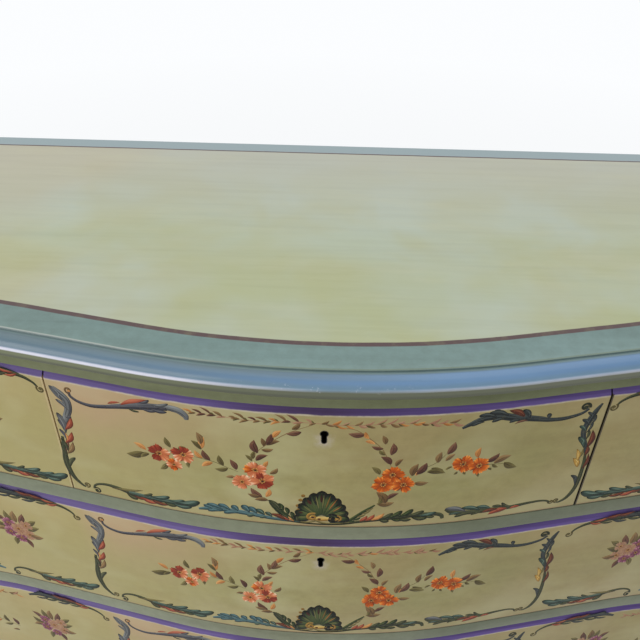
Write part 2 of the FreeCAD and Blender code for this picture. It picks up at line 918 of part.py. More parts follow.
def make_keyhole(body, drawer, head_level, role_name, depth=None):
    """A round-headed keyhole with a narrower slot that ends in a round foot."""
    sketch = new_sketch(body, f"{drawer.name}_{role_name}", "XZ_Plane")
    head = size.key_head_radius
    half_slot = size.key_slot_width / 2
    foot_level = head_level - (size.key_length - head - half_slot)
    spread = math.asin(half_slot.value / head.value)
    down = -math.pi / 2
    head_arc = add_arc(
        sketch, drawer.lock_x, head_level, head, down + spread, down - spread + 2 * math.pi
    )
    foot_arc = add_arc(
        sketch, drawer.lock_x, foot_level, half_slot, math.pi, 2 * math.pi
    )
    left = add_line(
        sketch, end_point(sketch, (head_arc, 2)), end_point(sketch, (foot_arc, 1))
    )
    right = add_line(
        sketch, end_point(sketch, (foot_arc, 2)), end_point(sketch, (head_arc, 1))
    )
    join(sketch, "Coincident", (head_arc, 2), (left, 1))
    join(sketch, "Coincident", (head_arc, 1), (right, 2))
    join(sketch, "Tangent", (left, 2), (foot_arc, 1))
    join(sketch, "Tangent", (foot_arc, 2), (right, 1))
    return sketch


def front_top_edges(body, height):
    """Names of the edges along the top of a drawer front's face."""
    names = []
    for number, edge in enumerate(body.Shape.Edges, start=1):
        middle = edge.valueAt((edge.FirstParameter + edge.LastParameter) / 2)
        on_face = abs(
            middle.y - front_y(size.face_inset, measure(middle.x)).value
        ) < TOLERANCE
        level = middle.z - body.Placement.Base.z
        if on_face and abs(level - height.value) < TOLERANCE:
            if abs(edge.Vertexes[0].Z - edge.Vertexes[-1].Z) < TOLERANCE:
                names.append(f"Edge{number}")
    return names


def make_drawer(drawer):
    """One drawer: bevelled front, grooved sides, back and bottom, and its lock."""
    name = drawer.name
    gap = size.drawer_gap
    front_height = drawer.opening_height - gap * 2
    front = board(
        f"{name}_front", size.face_inset, drawer.x_low, drawer.x_high,
        drawer.floor + gap, front_height, back_inset=front_back_inset,
    )
    chamfer(front, f"{name}_bevel", front_top_edges(front, front_height), size.bevel)
    head_level = front_height + gap - size.key_drop
    pocket(front, make_keyhole(front, drawer, head_level, "keyhole"))
    lock_low = drawer.lock_x - size.lock_width / 2
    lock_high = drawer.lock_x + size.lock_width / 2
    lock_back_y = front_y(front_back_inset, drawer.lock_x)
    lock_front_y = lock_back_y - size.lock_thickness
    seat = new_sketch(front, f"{name}_lock_seat", lift=front_height)
    add_box_plan(seat, lock_low, lock_high, lock_front_y, lock_back_y + size.overrun)
    pocket(front, seat, size.lock_height)

    sides = {}
    side_height = (
        drawer.opening_height - size.running_gap - size.side_headroom
    )
    side_level = drawer.floor + size.running_gap
    inner_low = drawer.box_low + size.drawer_side_thickness
    inner_high = drawer.box_high - size.drawer_side_thickness
    bottom_low = inner_low - size.groove_depth
    bottom_high = inner_high + size.groove_depth
    bottom_inset = front_back_inset - size.groove_depth
    bottom_top = size.drawer_bottom_rise + size.drawer_bottom_thickness

    groove = new_sketch(
        front, f"{name}_front_groove", lift=bottom_top + size.running_gap - gap
    )
    add_plan(groove, bottom_inset, bottom_low, bottom_high, back_y=drawer_rear_y)
    pocket(front, groove, size.drawer_bottom_thickness)

    for end, x_low, x_high in (
        ("left", drawer.box_low, inner_low), ("right", inner_high, drawer.box_high),
    ):
        side = board(
            f"{name}_side_{end}", front_back_inset, x_low, x_high, side_level,
            side_height, back_y=drawer_rear_y,
        )
        slot = new_sketch(side, f"{name}_groove_{end}", lift=bottom_top)
        slot_low, slot_high = (
            (bottom_low, inner_low + size.overrun) if end == "left"
            else (inner_high - size.overrun, bottom_high)
        )
        add_box_plan(slot, slot_low, slot_high, nose_y, back_panel_y)
        pocket(side, slot, size.drawer_bottom_thickness)
        sides[end] = side
    board(
        f"{name}_bottom", bottom_inset, bottom_low, bottom_high,
        side_level + size.drawer_bottom_rise, size.drawer_bottom_thickness,
        back_y=drawer_rear_y,
    )
    box(
        f"{name}_back", inner_low, inner_high, drawer_rear_y - size.drawer_back_thickness,
        drawer_rear_y, side_level + bottom_top, side_height - bottom_top,
    )
    make_lock(drawer, lock_low, lock_high, lock_front_y, lock_back_y, head_level)


def make_lock(drawer, lock_low, lock_high, lock_front_y, lock_back_y, head_level):
    """A drawer lock: a case with the key's recess and pin, and a bolt that rises."""
    name = drawer.name
    front_top = drawer.floor + drawer.opening_height - size.drawer_gap
    case = new_body(f"{name}_lock_case")
    outline = new_sketch(case, f"{name}_lock_outline")
    add_box_plan(outline, lock_low, lock_high, lock_front_y, lock_back_y)
    pad(case, outline, size.lock_height)
    place(case, 0, 0, front_top - size.lock_height)
    doc.recompute()

    channel = new_sketch(case, f"{name}_bolt_channel", lift=size.lock_height)
    half_width = size.bolt_width / 2 + size.bolt_clearance
    half_thick = size.bolt_thickness / 2 + size.bolt_clearance
    middle = bolt_y(drawer)
    add_box_plan(
        channel, drawer.lock_x - half_width, drawer.lock_x + half_width,
        middle - half_thick, middle + half_thick,
    )
    pocket(case, channel, size.bolt_height + size.bolt_clearance)

    lock_head_level = head_level - (
        drawer.opening_height - size.drawer_gap * 2 - size.lock_height
    )
    chamber = new_sketch(case, f"{name}_key_chamber", "XZ_Plane", lift=-lock_front_y)
    half_chamber = size.key_chamber_width / 2
    chamber_top = lock_head_level + half_chamber
    add_box_plan(
        chamber, drawer.lock_x - half_chamber, drawer.lock_x + half_chamber,
        chamber_top - size.key_chamber_height, chamber_top,
    )
    pocket(case, chamber, size.lock_thickness - size.lock_back_plate)
    pin = new_sketch(case, f"{name}_key_pin", "XZ_Plane", lift=-lock_back_y)
    add_circle(pin, drawer.lock_x, lock_head_level, size.key_pin_radius)
    pad(case, pin, size.lock_back_plate + size.key_pin_length)
    doc.recompute()

    bolt_low = drawer.lock_x - size.bolt_width / 2
    bolt_high = drawer.lock_x + size.bolt_width / 2
    box(
        f"{name}_lock_bolt", bolt_low, bolt_high, middle - size.bolt_thickness / 2,
        middle + size.bolt_thickness / 2, front_top - size.bolt_height, size.bolt_height,
    )


make_top()
make_rails()
make_apron()
make_case_boards()
make_runners()
make_strips()
for side, end in ((-1, "left"), (1, "right")):
    make_front_leg(side, f"front_leg_{end}")
    make_rear_leg(side, f"rear_leg_{end}")
    make_side_panel(side, f"side_panel_{end}")
for drawer in DRAWERS:
    make_drawer(drawer)
doc.recompute()

NODES = [
    "top", "top_rail", "upper_rail", "lower_rail", "bottom_rail", "apron",
    "side_panel_left", "side_panel_right", "front_leg_left", "front_leg_right",
    "rear_leg_left", "rear_leg_right", "partition_left", "partition_right",
    "back_panel", "top_back_rail", "rear_cross_rails", "case_bottom",
    "drawer_runners", "upper_dust_panels", "lower_dust_panel", "drawer_kickers",
    "drawer_guides", "drawer_stops", "corner_blocks",
]
for drawer in DRAWERS:
    for piece in (
        "front", "side_left", "side_right", "back", "bottom", "lock_case", "lock_bolt",
    ):
        NODES.append(f"{drawer.name}_{piece}")

for item in doc.Objects:
    if "Invalid" in item.State or "Error" in item.State:
        raise RuntimeError(f"{item.Name} did not recompute: {item.State}")
for name in NODES:
    shape = doc.getObject(name).Shape
    if shape.isNull() or not shape.isValid() or not shape.Solids:
        raise RuntimeError(f"{name} has no valid solid")

os.makedirs("parts", exist_ok=True)
for name in NODES:
    doc.getObject(name).Shape.exportStep(f"parts/{name}.step")
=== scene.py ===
import math
import random

import bmesh
import bpy
import numpy as np
from mathutils import Matrix, Vector


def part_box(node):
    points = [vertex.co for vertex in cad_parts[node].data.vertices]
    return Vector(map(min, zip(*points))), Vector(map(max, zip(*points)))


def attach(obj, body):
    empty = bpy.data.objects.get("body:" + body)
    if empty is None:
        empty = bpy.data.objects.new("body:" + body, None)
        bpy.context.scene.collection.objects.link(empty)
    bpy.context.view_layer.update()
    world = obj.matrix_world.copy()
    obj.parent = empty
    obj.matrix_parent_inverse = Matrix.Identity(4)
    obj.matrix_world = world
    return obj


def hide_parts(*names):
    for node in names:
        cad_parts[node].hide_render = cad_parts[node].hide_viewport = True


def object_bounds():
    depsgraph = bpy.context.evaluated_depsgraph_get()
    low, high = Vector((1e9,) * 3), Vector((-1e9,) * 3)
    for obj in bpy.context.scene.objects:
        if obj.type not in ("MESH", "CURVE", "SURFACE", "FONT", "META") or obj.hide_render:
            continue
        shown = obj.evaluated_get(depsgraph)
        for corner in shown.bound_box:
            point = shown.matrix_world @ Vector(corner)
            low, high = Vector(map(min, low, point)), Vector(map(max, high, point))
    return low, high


# A painted serpentine dresser. Metres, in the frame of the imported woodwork: +Z up, the
# drawers open towards -Y.

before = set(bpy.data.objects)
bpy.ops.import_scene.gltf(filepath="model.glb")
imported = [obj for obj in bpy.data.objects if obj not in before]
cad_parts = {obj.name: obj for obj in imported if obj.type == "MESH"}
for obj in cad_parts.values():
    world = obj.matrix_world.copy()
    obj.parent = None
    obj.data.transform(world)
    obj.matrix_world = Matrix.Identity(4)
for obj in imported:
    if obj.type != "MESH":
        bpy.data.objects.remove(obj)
cad_low, cad_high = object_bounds()
MM = 0.001

# Plan of the front, as the woodwork has it: a bow between two straights and two hollows.
BOW_RADIUS = 0.960
BOW_ANGLE = math.radians(12.4)
FLANK_STRAIGHT = 0.199
HOLLOW_RADIUS = 1.024
CORNER_CANT = 0.034
FACE_INSET = 0.020
FASCIA_INSET = 0.016

# Edge of the top, as insets from the nose and levels over its underside.
BEAD_INSET = 0.0165
QUIRK_DEPTH = 0.0016
NOSE_RADIUS = 0.012
UNDER_BEVEL = 0.006

# Painted borders of the top.
FRONT_BAND = 0.0529
BACK_BAND = 0.026
PINSTRIPE = 0.0063
BACK_LINE = 0.0032

BEVEL = 0.0125
KEY_HEAD_RADIUS = 0.00385
KEY_SLOT = 0.0046
KEY_LENGTH = 0.0176
COLUMN_STEP = 0.006

HALF_WIDTH = cad_high.x
REAR_Y = cad_high.y
NOSE_Y = cad_low.y
TOP_LEVEL = cad_high.z
UNDER_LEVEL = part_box("top")[0].z
TOP_THICKNESS = TOP_LEVEL - UNDER_LEVEL
POST_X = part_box("upper_rail")[1].x
SIDE_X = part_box("rear_leg_right")[1].x
KNEE_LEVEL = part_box("apron")[0].z

BOW_CENTRE_Y = NOSE_Y + BOW_RADIUS
HOLLOW_CENTRE_X = (
    (BOW_RADIUS + HOLLOW_RADIUS) * math.sin(BOW_ANGLE)
    + FLANK_STRAIGHT * math.cos(BOW_ANGLE)
)
HOLLOW_CENTRE_Y = (
    BOW_CENTRE_Y
    - (BOW_RADIUS + HOLLOW_RADIUS) * math.cos(BOW_ANGLE)
    + FLANK_STRAIGHT * math.sin(BOW_ANGLE)
)


def radii(inset):
    """Radii of the bow and the hollow at an inset, and where the flank starts and ends."""
    bow = BOW_RADIUS - inset
    hollow = HOLLOW_RADIUS + inset
    return bow, hollow, bow * math.sin(BOW_ANGLE), HOLLOW_CENTRE_X - hollow * math.sin(BOW_ANGLE)


def front_y(x, inset):
    """Depth of the serpentine line at each place x, for one inset."""
    reach = np.abs(np.asarray(x, float))
    bow, hollow, bow_end, hollow_start = radii(inset)
    on_bow = BOW_CENTRE_Y - np.sqrt(np.maximum(bow**2 - reach**2, 0))
    on_flank = (
        BOW_CENTRE_Y - bow * math.cos(BOW_ANGLE) + (reach - bow_end) * math.tan(BOW_ANGLE)
    )
    offset = reach - HOLLOW_CENTRE_X
    on_hollow = HOLLOW_CENTRE_Y + np.sqrt(np.maximum(hollow**2 - offset**2, 0))
    return np.where(reach <= bow_end, on_bow, np.where(reach <= hollow_start, on_flank, on_hollow))


def run_at(x, inset=FACE_INSET):
    """Length along the serpentine line from the centre to each place x."""
    x = np.asarray(x, float)
    reach = np.abs(x)
    bow, hollow, bow_end, hollow_start = radii(inset)
    on_bow = bow * np.arcsin(np.clip(reach / bow, -1, 1))
    on_flank = bow * BOW_ANGLE + (reach - bow_end) / math.cos(BOW_ANGLE)
    turn = np.arcsin(np.clip((reach - HOLLOW_CENTRE_X) / hollow, -1, 1)) + BOW_ANGLE
    on_hollow = bow * BOW_ANGLE + FLANK_STRAIGHT + hollow * turn
    run = np.where(reach <= bow_end, on_bow, np.where(reach <= hollow_start, on_flank, on_hollow))
    return np.sign(x) * run


def front_at(run, inset=FACE_INSET):
    """Points of the serpentine line and its outward normals, by the run along it."""
    run = np.asarray(run, float)
    side = np.where(run < 0, -1.0, 1.0)
    bow, hollow = radii(inset)[:2]
    left = np.abs(run)
    turn = np.minimum(left / bow, BOW_ANGLE)
    flank = np.clip(left - bow * BOW_ANGLE, 0, FLANK_STRAIGHT)
    back_turn = np.maximum(left - bow * BOW_ANGLE - FLANK_STRAIGHT, 0) / hollow
    x = (
        bow * np.sin(turn) + flank * math.cos(BOW_ANGLE)
        + hollow * (np.sin(back_turn - BOW_ANGLE) + math.sin(BOW_ANGLE))
    )
    y = (
        BOW_CENTRE_Y - bow * np.cos(turn) + flank * math.sin(BOW_ANGLE)
        + hollow * (np.cos(back_turn - BOW_ANGLE) - math.cos(BOW_ANGLE))
    )
    heading = turn - back_turn
    return side * x, y, side * np.sin(heading), -np.cos(heading)


def front_distance(x, y):
    """How far each point lies behind the nose line, measured square to it."""
    reach = np.abs(x)
    bow_turn = np.arctan2(reach, BOW_CENTRE_Y - y)
    hollow_turn = np.arctan2(HOLLOW_CENTRE_X - reach, y - HOLLOW_CENTRE_Y)
    across = -math.sin(BOW_ANGLE) * reach + math.cos(BOW_ANGLE) * (y - BOW_CENTRE_Y)
    on_bow = BOW_RADIUS - np.hypot(reach, y - BOW_CENTRE_Y)
    on_flank = BOW_RADIUS + across
    on_hollow = np.hypot(reach - HOLLOW_CENTRE_X, y - HOLLOW_CENTRE_Y) - HOLLOW_RADIUS
    past_bow = np.where(hollow_turn >= BOW_ANGLE, on_flank, on_hollow)
    return np.where(bow_turn <= BOW_ANGLE, on_bow, past_bow)


# Small helpers for meshes

def add_object(name, data):
    """A new object in the scene."""
    made = bpy.data.objects.new(name, data)
    bpy.context.scene.collection.objects.link(made)
    return made


def new_piece(name, mesh, body, material, replaced=()):
    """Puts a finished mesh in the scene as a piece of the dresser."""
    piece = add_object(name, mesh)
    mesh.materials.append(material)
    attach(piece, body)
    if replaced:
        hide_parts(*replaced)
    return piece


def mesh_from(name, points, faces):
    """A mesh of points and faces, with its faces turned outwards."""
    mesh = bpy.data.meshes.new(name)
    mesh.from_pydata([tuple(p) for p in points], [], faces)
    mesh.validate()
    fix = bmesh.new()
    fix.from_mesh(mesh)
    bmesh.ops.recalc_face_normals(fix, faces=fix.faces)
    fix.to_mesh(mesh)
    fix.free()
    return mesh


def smooth(mesh, angle=32):
    """Smooth shading, with creases where the faces turn by more than an angle."""
    mesh.shade_smooth()
    mesh.set_sharp_from_angle(angle=math.radians(angle))


def set_vectors(mesh, name, values):
    """A vector for each vertex, which a material can read by its name."""
    layer = mesh.attributes.new(name, "FLOAT_VECTOR", "POINT")
    layer.data.foreach_set("vector", np.asarray(values, np.float32).ravel())


def vertex_array(mesh):
    """The places of a mesh's vertices, one row for each."""
    places = np.zeros(len(mesh.vertices) * 3)
    mesh.vertices.foreach_get("co", places)
    return places.reshape(-1, 3)


def round_corners(corners, radius, steps=3):
    """A closed outline with each corner rounded by a small arc."""
    result = []
    count = len(corners)
    for index in range(count):
        before, corner, after = (np.array(corners[(index + k) % count], float) for k in (-1, 0, 1))
        to_before, to_after = before - corner, after - corner
        back, ahead = np.linalg.norm(to_before), np.linalg.norm(to_after)
        reach = min(radius, back * 0.45, ahead * 0.45)
        start = corner + to_before / back * reach
        end = corner + to_after / ahead * reach
        for step in range(steps + 1):
            t = step / steps
            result.append((1 - t) ** 2 * start + 2 * t * (1 - t) * corner + t**2 * end)
    return np.array(result)


def loft(name, rings):
    """A closed mesh through rings of equally many points, capped at both ends."""
    rings = [np.asarray(ring, float) for ring in rings]
    count = len(rings[0])
    points = np.concatenate(rings)
    faces = []
    for row in range(len(rings) - 1):
        for index in range(count):
            following = (index + 1) % count
            faces.append((
                row * count + index, row * count + following,
                (row + 1) * count + following, (row + 1) * count + index,
            ))
    faces.append(tuple(range(count)))
    faces.append(tuple(reversed(range((len(rings) - 1) * count, len(rings) * count))))
    return mesh_from(name, points, faces)


def ring_at(x, section):
    """A section of insets and levels, set on the serpentine line at a place x."""
    return [(x, float(front_y(x, inset)), level) for inset, level in section]


def bar(name, section, x_low, x_high):
    """A bar along the serpentine line: a closed section of insets and levels."""
    columns = max(2, int(round((x_high - x_low) / COLUMN_STEP)))
    return loft(name, [ring_at(x, section) for x in np.linspace(x_low, x_high, columns + 1)])


def join_meshes(name, meshes):
    """One mesh of several."""
    work = bmesh.new()
    for mesh in meshes:
        work.from_mesh(mesh)
    joined = bpy.data.meshes.new(name)
    work.to_mesh(joined)
    work.free()
    return joined


def cut(piece, cutters):
    """Takes the cutters' meshes out of a piece."""
    holder = add_object("cutter", join_meshes("cutter", cutters))
    modifier = piece.modifiers.new("cut", "BOOLEAN")
    modifier.operation = "DIFFERENCE"
    modifier.solver = "EXACT"
    modifier.use_self = False
    modifier.object = holder
    bpy.context.view_layer.update()
    evaluated = piece.evaluated_get(bpy.context.evaluated_depsgraph_get())
    result = bpy.data.meshes.new_from_object(evaluated)
    piece.modifiers.clear()
    piece.data = result
    bpy.data.objects.remove(holder)


def rectangle(x_low, x_high, y_low, y_high):
    """The four corners of a rectangle, in order."""
    return [(x_low, y_low), (x_high, y_low), (x_high, y_high), (x_low, y_high)]


def box_mesh(name, low, high):
    """A plain box between two opposite corners."""
    plan = rectangle(low[0], high[0], low[1], high[1])
    return loft(name, [[(x, y, z) for x, y in plan] for z in (low[2], high[2])])


# Materials

def linear(red, green, blue):
    """A colour as a paint chart gives it, 0 to 255, in the renderer's linear values."""
    shares = [value / 255 for value in (red, green, blue)]
    return (*(s / 12.92 if s <= 0.04045 else ((s + 0.055) / 1.055) ** 2.4 for s in shares), 1.0)


class Nodes:
    """A node tree, with short calls for its nodes."""

    def __init__(self, tree):
        self.tree = tree

    def feed(self, socket, value):
        """Links a socket to a socket, or sets its value."""
        if hasattr(value, "is_linked"):
            self.tree.links.new(value, socket)
        else:
            socket.default_value = value

    def node(self, kind, *values, **settings):
        """A new node with its settings, and what goes into its first sockets."""
        made = self.tree.nodes.new(kind)
        for key, value in settings.items():
            setattr(made, key, value)
        for socket, value in zip(made.inputs, values):
            self.feed(socket, value)
        return made

    def maths(self, operation, *values):
        """The result of one arithmetic step on numbers or sockets."""
        return self.node("ShaderNodeMath", *values, operation=operation).outputs[0]

    def times(self, first, *others):
        """The product of numbers or sockets."""
        for other in others:
            first = self.maths("MULTIPLY", first, other)
        return first

    def ramp(self, value, low, high, start=0.0, end=1.0):
        """Start to end as the value goes from low to high, and level outside."""
        return self.node("ShaderNodeMapRange", value, low, high, start, end, clamp=True).outputs[0]


class Shader(Nodes):
    """A material, with short calls for what the paints share."""

    def __init__(self, name, roughness, coat=0.0, coat_roughness=0.1, metallic=0.0, specular=0.5):
        self.material = bpy.data.materials.new(name)
        self.material.use_nodes = True
        super().__init__(self.material.node_tree)
        self.surface = self.tree.nodes["Principled BSDF"]
        for socket, value in (
            ("Roughness", roughness), ("Coat Weight", coat), ("Coat Roughness", coat_roughness),
            ("Metallic", metallic), ("Specular IOR Level", specular),
        ):
            self.surface.inputs[socket].default_value = value
        self.place = self.node("ShaderNodeTexCoord").outputs["Object"]

    def read(self, name, output="Vector"):
        """A mesh's named attribute."""
        return self.node("ShaderNodeAttribute", attribute_name=name).outputs[output]

    def axes(self, vector):
        """The three components of a vector."""
        return self.node("ShaderNodeSeparateXYZ", vector).outputs

    def stretch(self, vector, scale, shift=(0, 0, 0)):
        """A vector scaled along each axis, and shifted."""
        made = self.node("ShaderNodeMapping", vector)
        made.inputs["Scale"].default_value = scale
        made.inputs["Location"].default_value = shift
        return made.outputs[0]

    def noise(self, vector, scale, detail=3.0, rough=0.55, warp=0.0, stretch=None, shift=(0, 0, 0)):
        """Noise in a place that may be stretched and shifted first."""
        if stretch is not None:
            vector = self.stretch(vector, stretch, shift)
        made = self.node("ShaderNodeTexNoise", vector)
        for socket, value in (
            ("Scale", scale), ("Detail", detail), ("Roughness", rough), ("Distortion", warp),
        ):
            made.inputs[socket].default_value = value
        return made.outputs[0]

    def waver(self, size, vector, scale, detail):
        """A small random shift, both ways, up to half its size."""
        return self.times(self.maths("SUBTRACT", self.noise(vector, scale, detail), 0.5), size)

    def cloud(self, vector, scale, low, high, start=0.0, end=1.0, **noise):
        """Noise spread by a ramp into patches with soft edges."""
        return self.ramp(self.noise(vector, scale, **noise), low, high, start, end)

    def zone(self, value, start, full, fading, end):
        """1 between full and fading, falling to 0 at the start and the end."""
        return self.times(self.ramp(value, start, full), self.ramp(value, end, fading))

    def mix(self, share, first, second, blend="MIX"):
        """A colour between two others, by a share."""
        made = self.node("ShaderNodeMix", share, data_type="RGBA", blend_type=blend)
        self.feed(made.inputs[6], first)
        self.feed(made.inputs[7], second)
        return made.outputs[2]

    def bump(self, height, distance, strength):
        """Fine relief in the surface, from a height."""
        made = self.node("ShaderNodeBump")
        made.inputs["Distance"].default_value = distance
        made.inputs["Strength"].default_value = strength
        self.feed(made.inputs["Height"], height)
        self.feed(self.surface.inputs["Normal"], made.outputs[0])

    def finish(self, colour, roughness=None):
        """Sets the colour and the roughness, and gives the material."""
        self.feed(self.surface.inputs["Base Color"], colour)
        if roughness is not None:
            self.feed(self.surface.inputs["Roughness"], roughness)
        return self.material


STREAK_STRETCH = (2.5, 30, 30)
NO_STRETCH = (1, 1, 1)


def glaze(shader, place, base, warm, cool, seed):
    """A base colour under a wiped glaze: broad clouds, long streaks and a fine mottle."""
    clouds = shader.cloud(
        place, 3.2, 0.38, 0.66, detail=4.0, rough=0.6, warp=0.4,
        stretch=NO_STRETCH, shift=(seed, 0, 0),
    )
    tint = shader.cloud(
        place, 2.1, 0.45, 0.7, detail=3.0, rough=0.5, stretch=NO_STRETCH, shift=(seed + 7, 3, 0)
    )
    streaks = shader.cloud(
        place, 1.0, 0.45, 0.75, 0, 0.28, detail=5.0, rough=0.6, warp=0.3,
        stretch=STREAK_STRETCH, shift=(seed, 1, 0),
    )
    colour = shader.mix(clouds, base, warm)
    colour = shader.mix(tint, colour, cool)
    colour = shader.mix(streaks, colour, warm, "MULTIPLY")
    mottle = shader.cloud(place, 70, 0.38, 0.64, 0, 0.16, detail=5.0, rough=0.7)
    return shader.mix(mottle, colour, GLAZE_DIRT, "MULTIPLY")


# Colours of the paints.
SAGE = linear(117, 145, 140)
SAGE_DARK = linear(108, 132, 126)
SAGE_LIGHT = linear(122, 149, 146)
BACK_SAGE_REFLECTION = linear(150, 168, 172)
PLUM_LINE = linear(84, 60, 60)
FIELD = linear(180, 184, 150)
FIELD_WARM = linear(174, 178, 124)
FIELD_COOL = linear(182, 193, 175)
FIELD_FAR_REFLECTION = linear(187, 187, 173)
FIELD_ROSY = linear(192, 178, 142)
FIELD_HATCH = linear(132, 128, 96)
FIELD_RUBBED = linear(200, 200, 168)
SPECK = linear(120, 92, 60)
NOSE_GREY = linear(90, 112, 120)
NOSE_REFLECTED_BLUE = linear(94, 130, 172)
NOSE_REFLECTED_PALE = linear(104, 140, 180)
BEAD_OLIVE = linear(106, 120, 88)
BEAD_HIGHLIGHT = linear(172, 180, 172)
QUIRK_SHADE = linear(70, 92, 100)
RIM_HIGHLIGHT_AND_CHIPS = linear(222, 222, 238)
RIM_HIGHLIGHT_GLOW = linear(150, 168, 212)
RIM_SHADE = linear(78, 106, 130)
OLIVE = linear(100, 106, 72)
OLIVE_WARM = linear(98, 104, 70)
OLIVE_COOL = linear(112, 117, 86)
EDGE_OLIVE = linear(84, 89, 66)
EDGE_FOOT_SHADE = linear(66, 70, 50)
RAIL = linear(103, 110, 89)
RAIL_WARM = linear(110, 114, 90)
RAIL_COOL = linear(118, 126, 106)
RAIL_LEFT = linear(142, 147, 124)
CREAM = linear(164, 148, 96)
CREAM_PINK = linear(178, 148, 114)
CREAM_GREEN = linear(150, 146, 94)
FACE_LEFT_LIGHT = linear(184, 172, 112)
FACE_RIGHT_SHADE = linear(120, 108, 58)
FACE_BLUSH = linear(186, 152, 124)
FACE_SHADE = linear(140, 134, 84)
FACE_CLEARED = linear(180, 174, 134)
PURPLE = linear(86, 68, 124)
PURPLE_LIGHT = linear(106, 88, 150)
PURPLE_IN_SHADE = linear(62, 42, 60)
ARRIS_HIGHLIGHT = linear(196, 186, 164)
TOP_GAP_SHADE = linear(38, 30, 40)
KEY_RING = linear(182, 172, 162)
KEYHOLE_SHADE = linear(20, 17, 15)
BOTTOM_EDGE_SHADE = linear(120, 88, 62)
GLAZE_DIRT = linear(140, 130, 95)
END_GAP_LIGHT = linear(206, 184, 146)
END_GAP_SHADE = linear(66, 58, 40)
HAIR_PALE = linear(190, 180, 150)
HAIR_DARK = linear(80, 70, 58)
RAW_PALE = linear(164, 132, 92)
WOOD_PALE = linear(190, 158, 114)
WOOD_DARK = linear(158, 122, 82)
BACK_PALE = linear(170, 136, 96)
BACK_DARK = linear(154, 119, 81)
STAIN = linear(120, 92, 62)
STEEL = linear(96, 92, 84)
STEEL_DULL = linear(58, 50, 42)
BRASS = linear(206, 168, 96)
BRASS_DULL = linear(140, 104, 56)
PAPER = linear(232, 232, 228)
PAPER_LIGHT = linear(238, 238, 234)

# Where a line of the top's edge starts, is full, starts to fade and ends: insets from the nose
# for the bead's painted highlight and the painted shade in its quirk, levels over the underside
# for the others: painted shade, glow and highlight at the rim, and pale chips.
BEAD_ZONE = (0.0160, 0.0166, 0.0184, 0.0192)
QUIRK_SHADE_ZONE = (0.0138, 0.0148, 0.0166, 0.0176)
DIM_ZONE = (0.0160, 0.0185, 0.0205, 0.0250)
GLOW_ZONE = (0.0150, 0.0162, 0.0170, 0.0190)
RIM_ZONE = (0.0132, 0.0146, 0.0164, 0.0182)
CHIP_ZONE = (0.0120, 0.0145, 0.0190, 0.0230)
LINE_SOFT = 0.0004
BRUSH_STRETCH = (14, 900, 900)
BRUSH_DEPTH = 0.00006


def paint_surface(shader, place):
    """Brush marks and a slightly uneven satin varnish."""
    marks = shader.noise(place, 1.0, 3.0, stretch=BRUSH_STRETCH)
    pores = shader.noise(place, 1500, 2.0, 0.5)
    shader.bump(shader.maths("ADD", marks, shader.times(pores, 0.35)), BRUSH_DEPTH, 0.6)
    return shader.cloud(place, 11, 0.3, 0.75, 0.30, 0.46, detail=4.0, rough=0.6)


def top_field(shader, front, across, depth):
    """The glazed field: yellower in front, rosy at the left, and greyer behind, a painted reflection.
    """
    place = shader.place
    clouds = shader.cloud(place, 7.5, 0.38, 0.62, detail=3, rough=0.5, warp=0.3)
    field = shader.mix(clouds, FIELD_COOL, FIELD)
    yellowed = shader.times(
        shader.ramp(front, 0.30, 0.05, 0.15, 0.85),
        shader.cloud(place, 5.5, 0.38, 0.62, detail=3, rough=0.5),
    )
    field = shader.mix(yellowed, field, FIELD_WARM)
    # Painted reflection: the field turns paler and greyer towards the back.
    field = shader.mix(shader.ramp(depth, 0.0, 0.24, 0, 0.85), field, FIELD_FAR_REFLECTION)
    rosy = shader.times(
        shader.cloud(
            place, 3.4, 0.40, 0.60, 0, 0.38, detail=2, rough=0.5,
            stretch=NO_STRETCH, shift=(3, 5, 0),
        ),
        shader.ramp(across, -0.12, -0.34),
    )
    field = shader.mix(rosy, field, FIELD_ROSY)
    hatch = shader.cloud(place, 1.0, 0.45, 0.70, 0, 0.07, detail=4, rough=0.6, stretch=(4, 90, 1))
    field = shader.mix(hatch, field, FIELD_HATCH, "MULTIPLY")
    patchy = shader.cloud(place, 5, 0.5, 0.8, 0, 0.35, detail=5, rough=0.7, stretch=(1, 5, 5))
    return shader.mix(patchy, field, FIELD_RUBBED)


def top_borders(shader, front, back, field):
    """The sage border, paler along the back from a painted reflection, and its plum line round the
    field.
    """
    place = shader.place
    band = glaze(shader, place, SAGE, SAGE_DARK, SAGE_LIGHT, 4.0)
    # Painted reflection: the band is paler and bluer along the back.
    band = shader.mix(shader.ramp(back, BACK_BAND + 0.002, BACK_BAND), band, BACK_SAGE_REFLECTION)

    def inside(front_edge, back_edge):
        return shader.times(
            shader.ramp(front, front_edge - LINE_SOFT, front_edge + LINE_SOFT),
            shader.ramp(back, back_edge - LINE_SOFT, back_edge + LINE_SOFT),
        )

    line_wear = shader.cloud(place, 70, 0.28, 0.5, 0.85, 1.0, detail=4)
    line = shader.mix(line_wear, FIELD_WARM, PLUM_LINE)
    colour = shader.mix(inside(FRONT_BAND, BACK_BAND), band, line)
    return shader.mix(inside(FRONT_BAND + PINSTRIPE, BACK_BAND + BACK_LINE), colour, field)


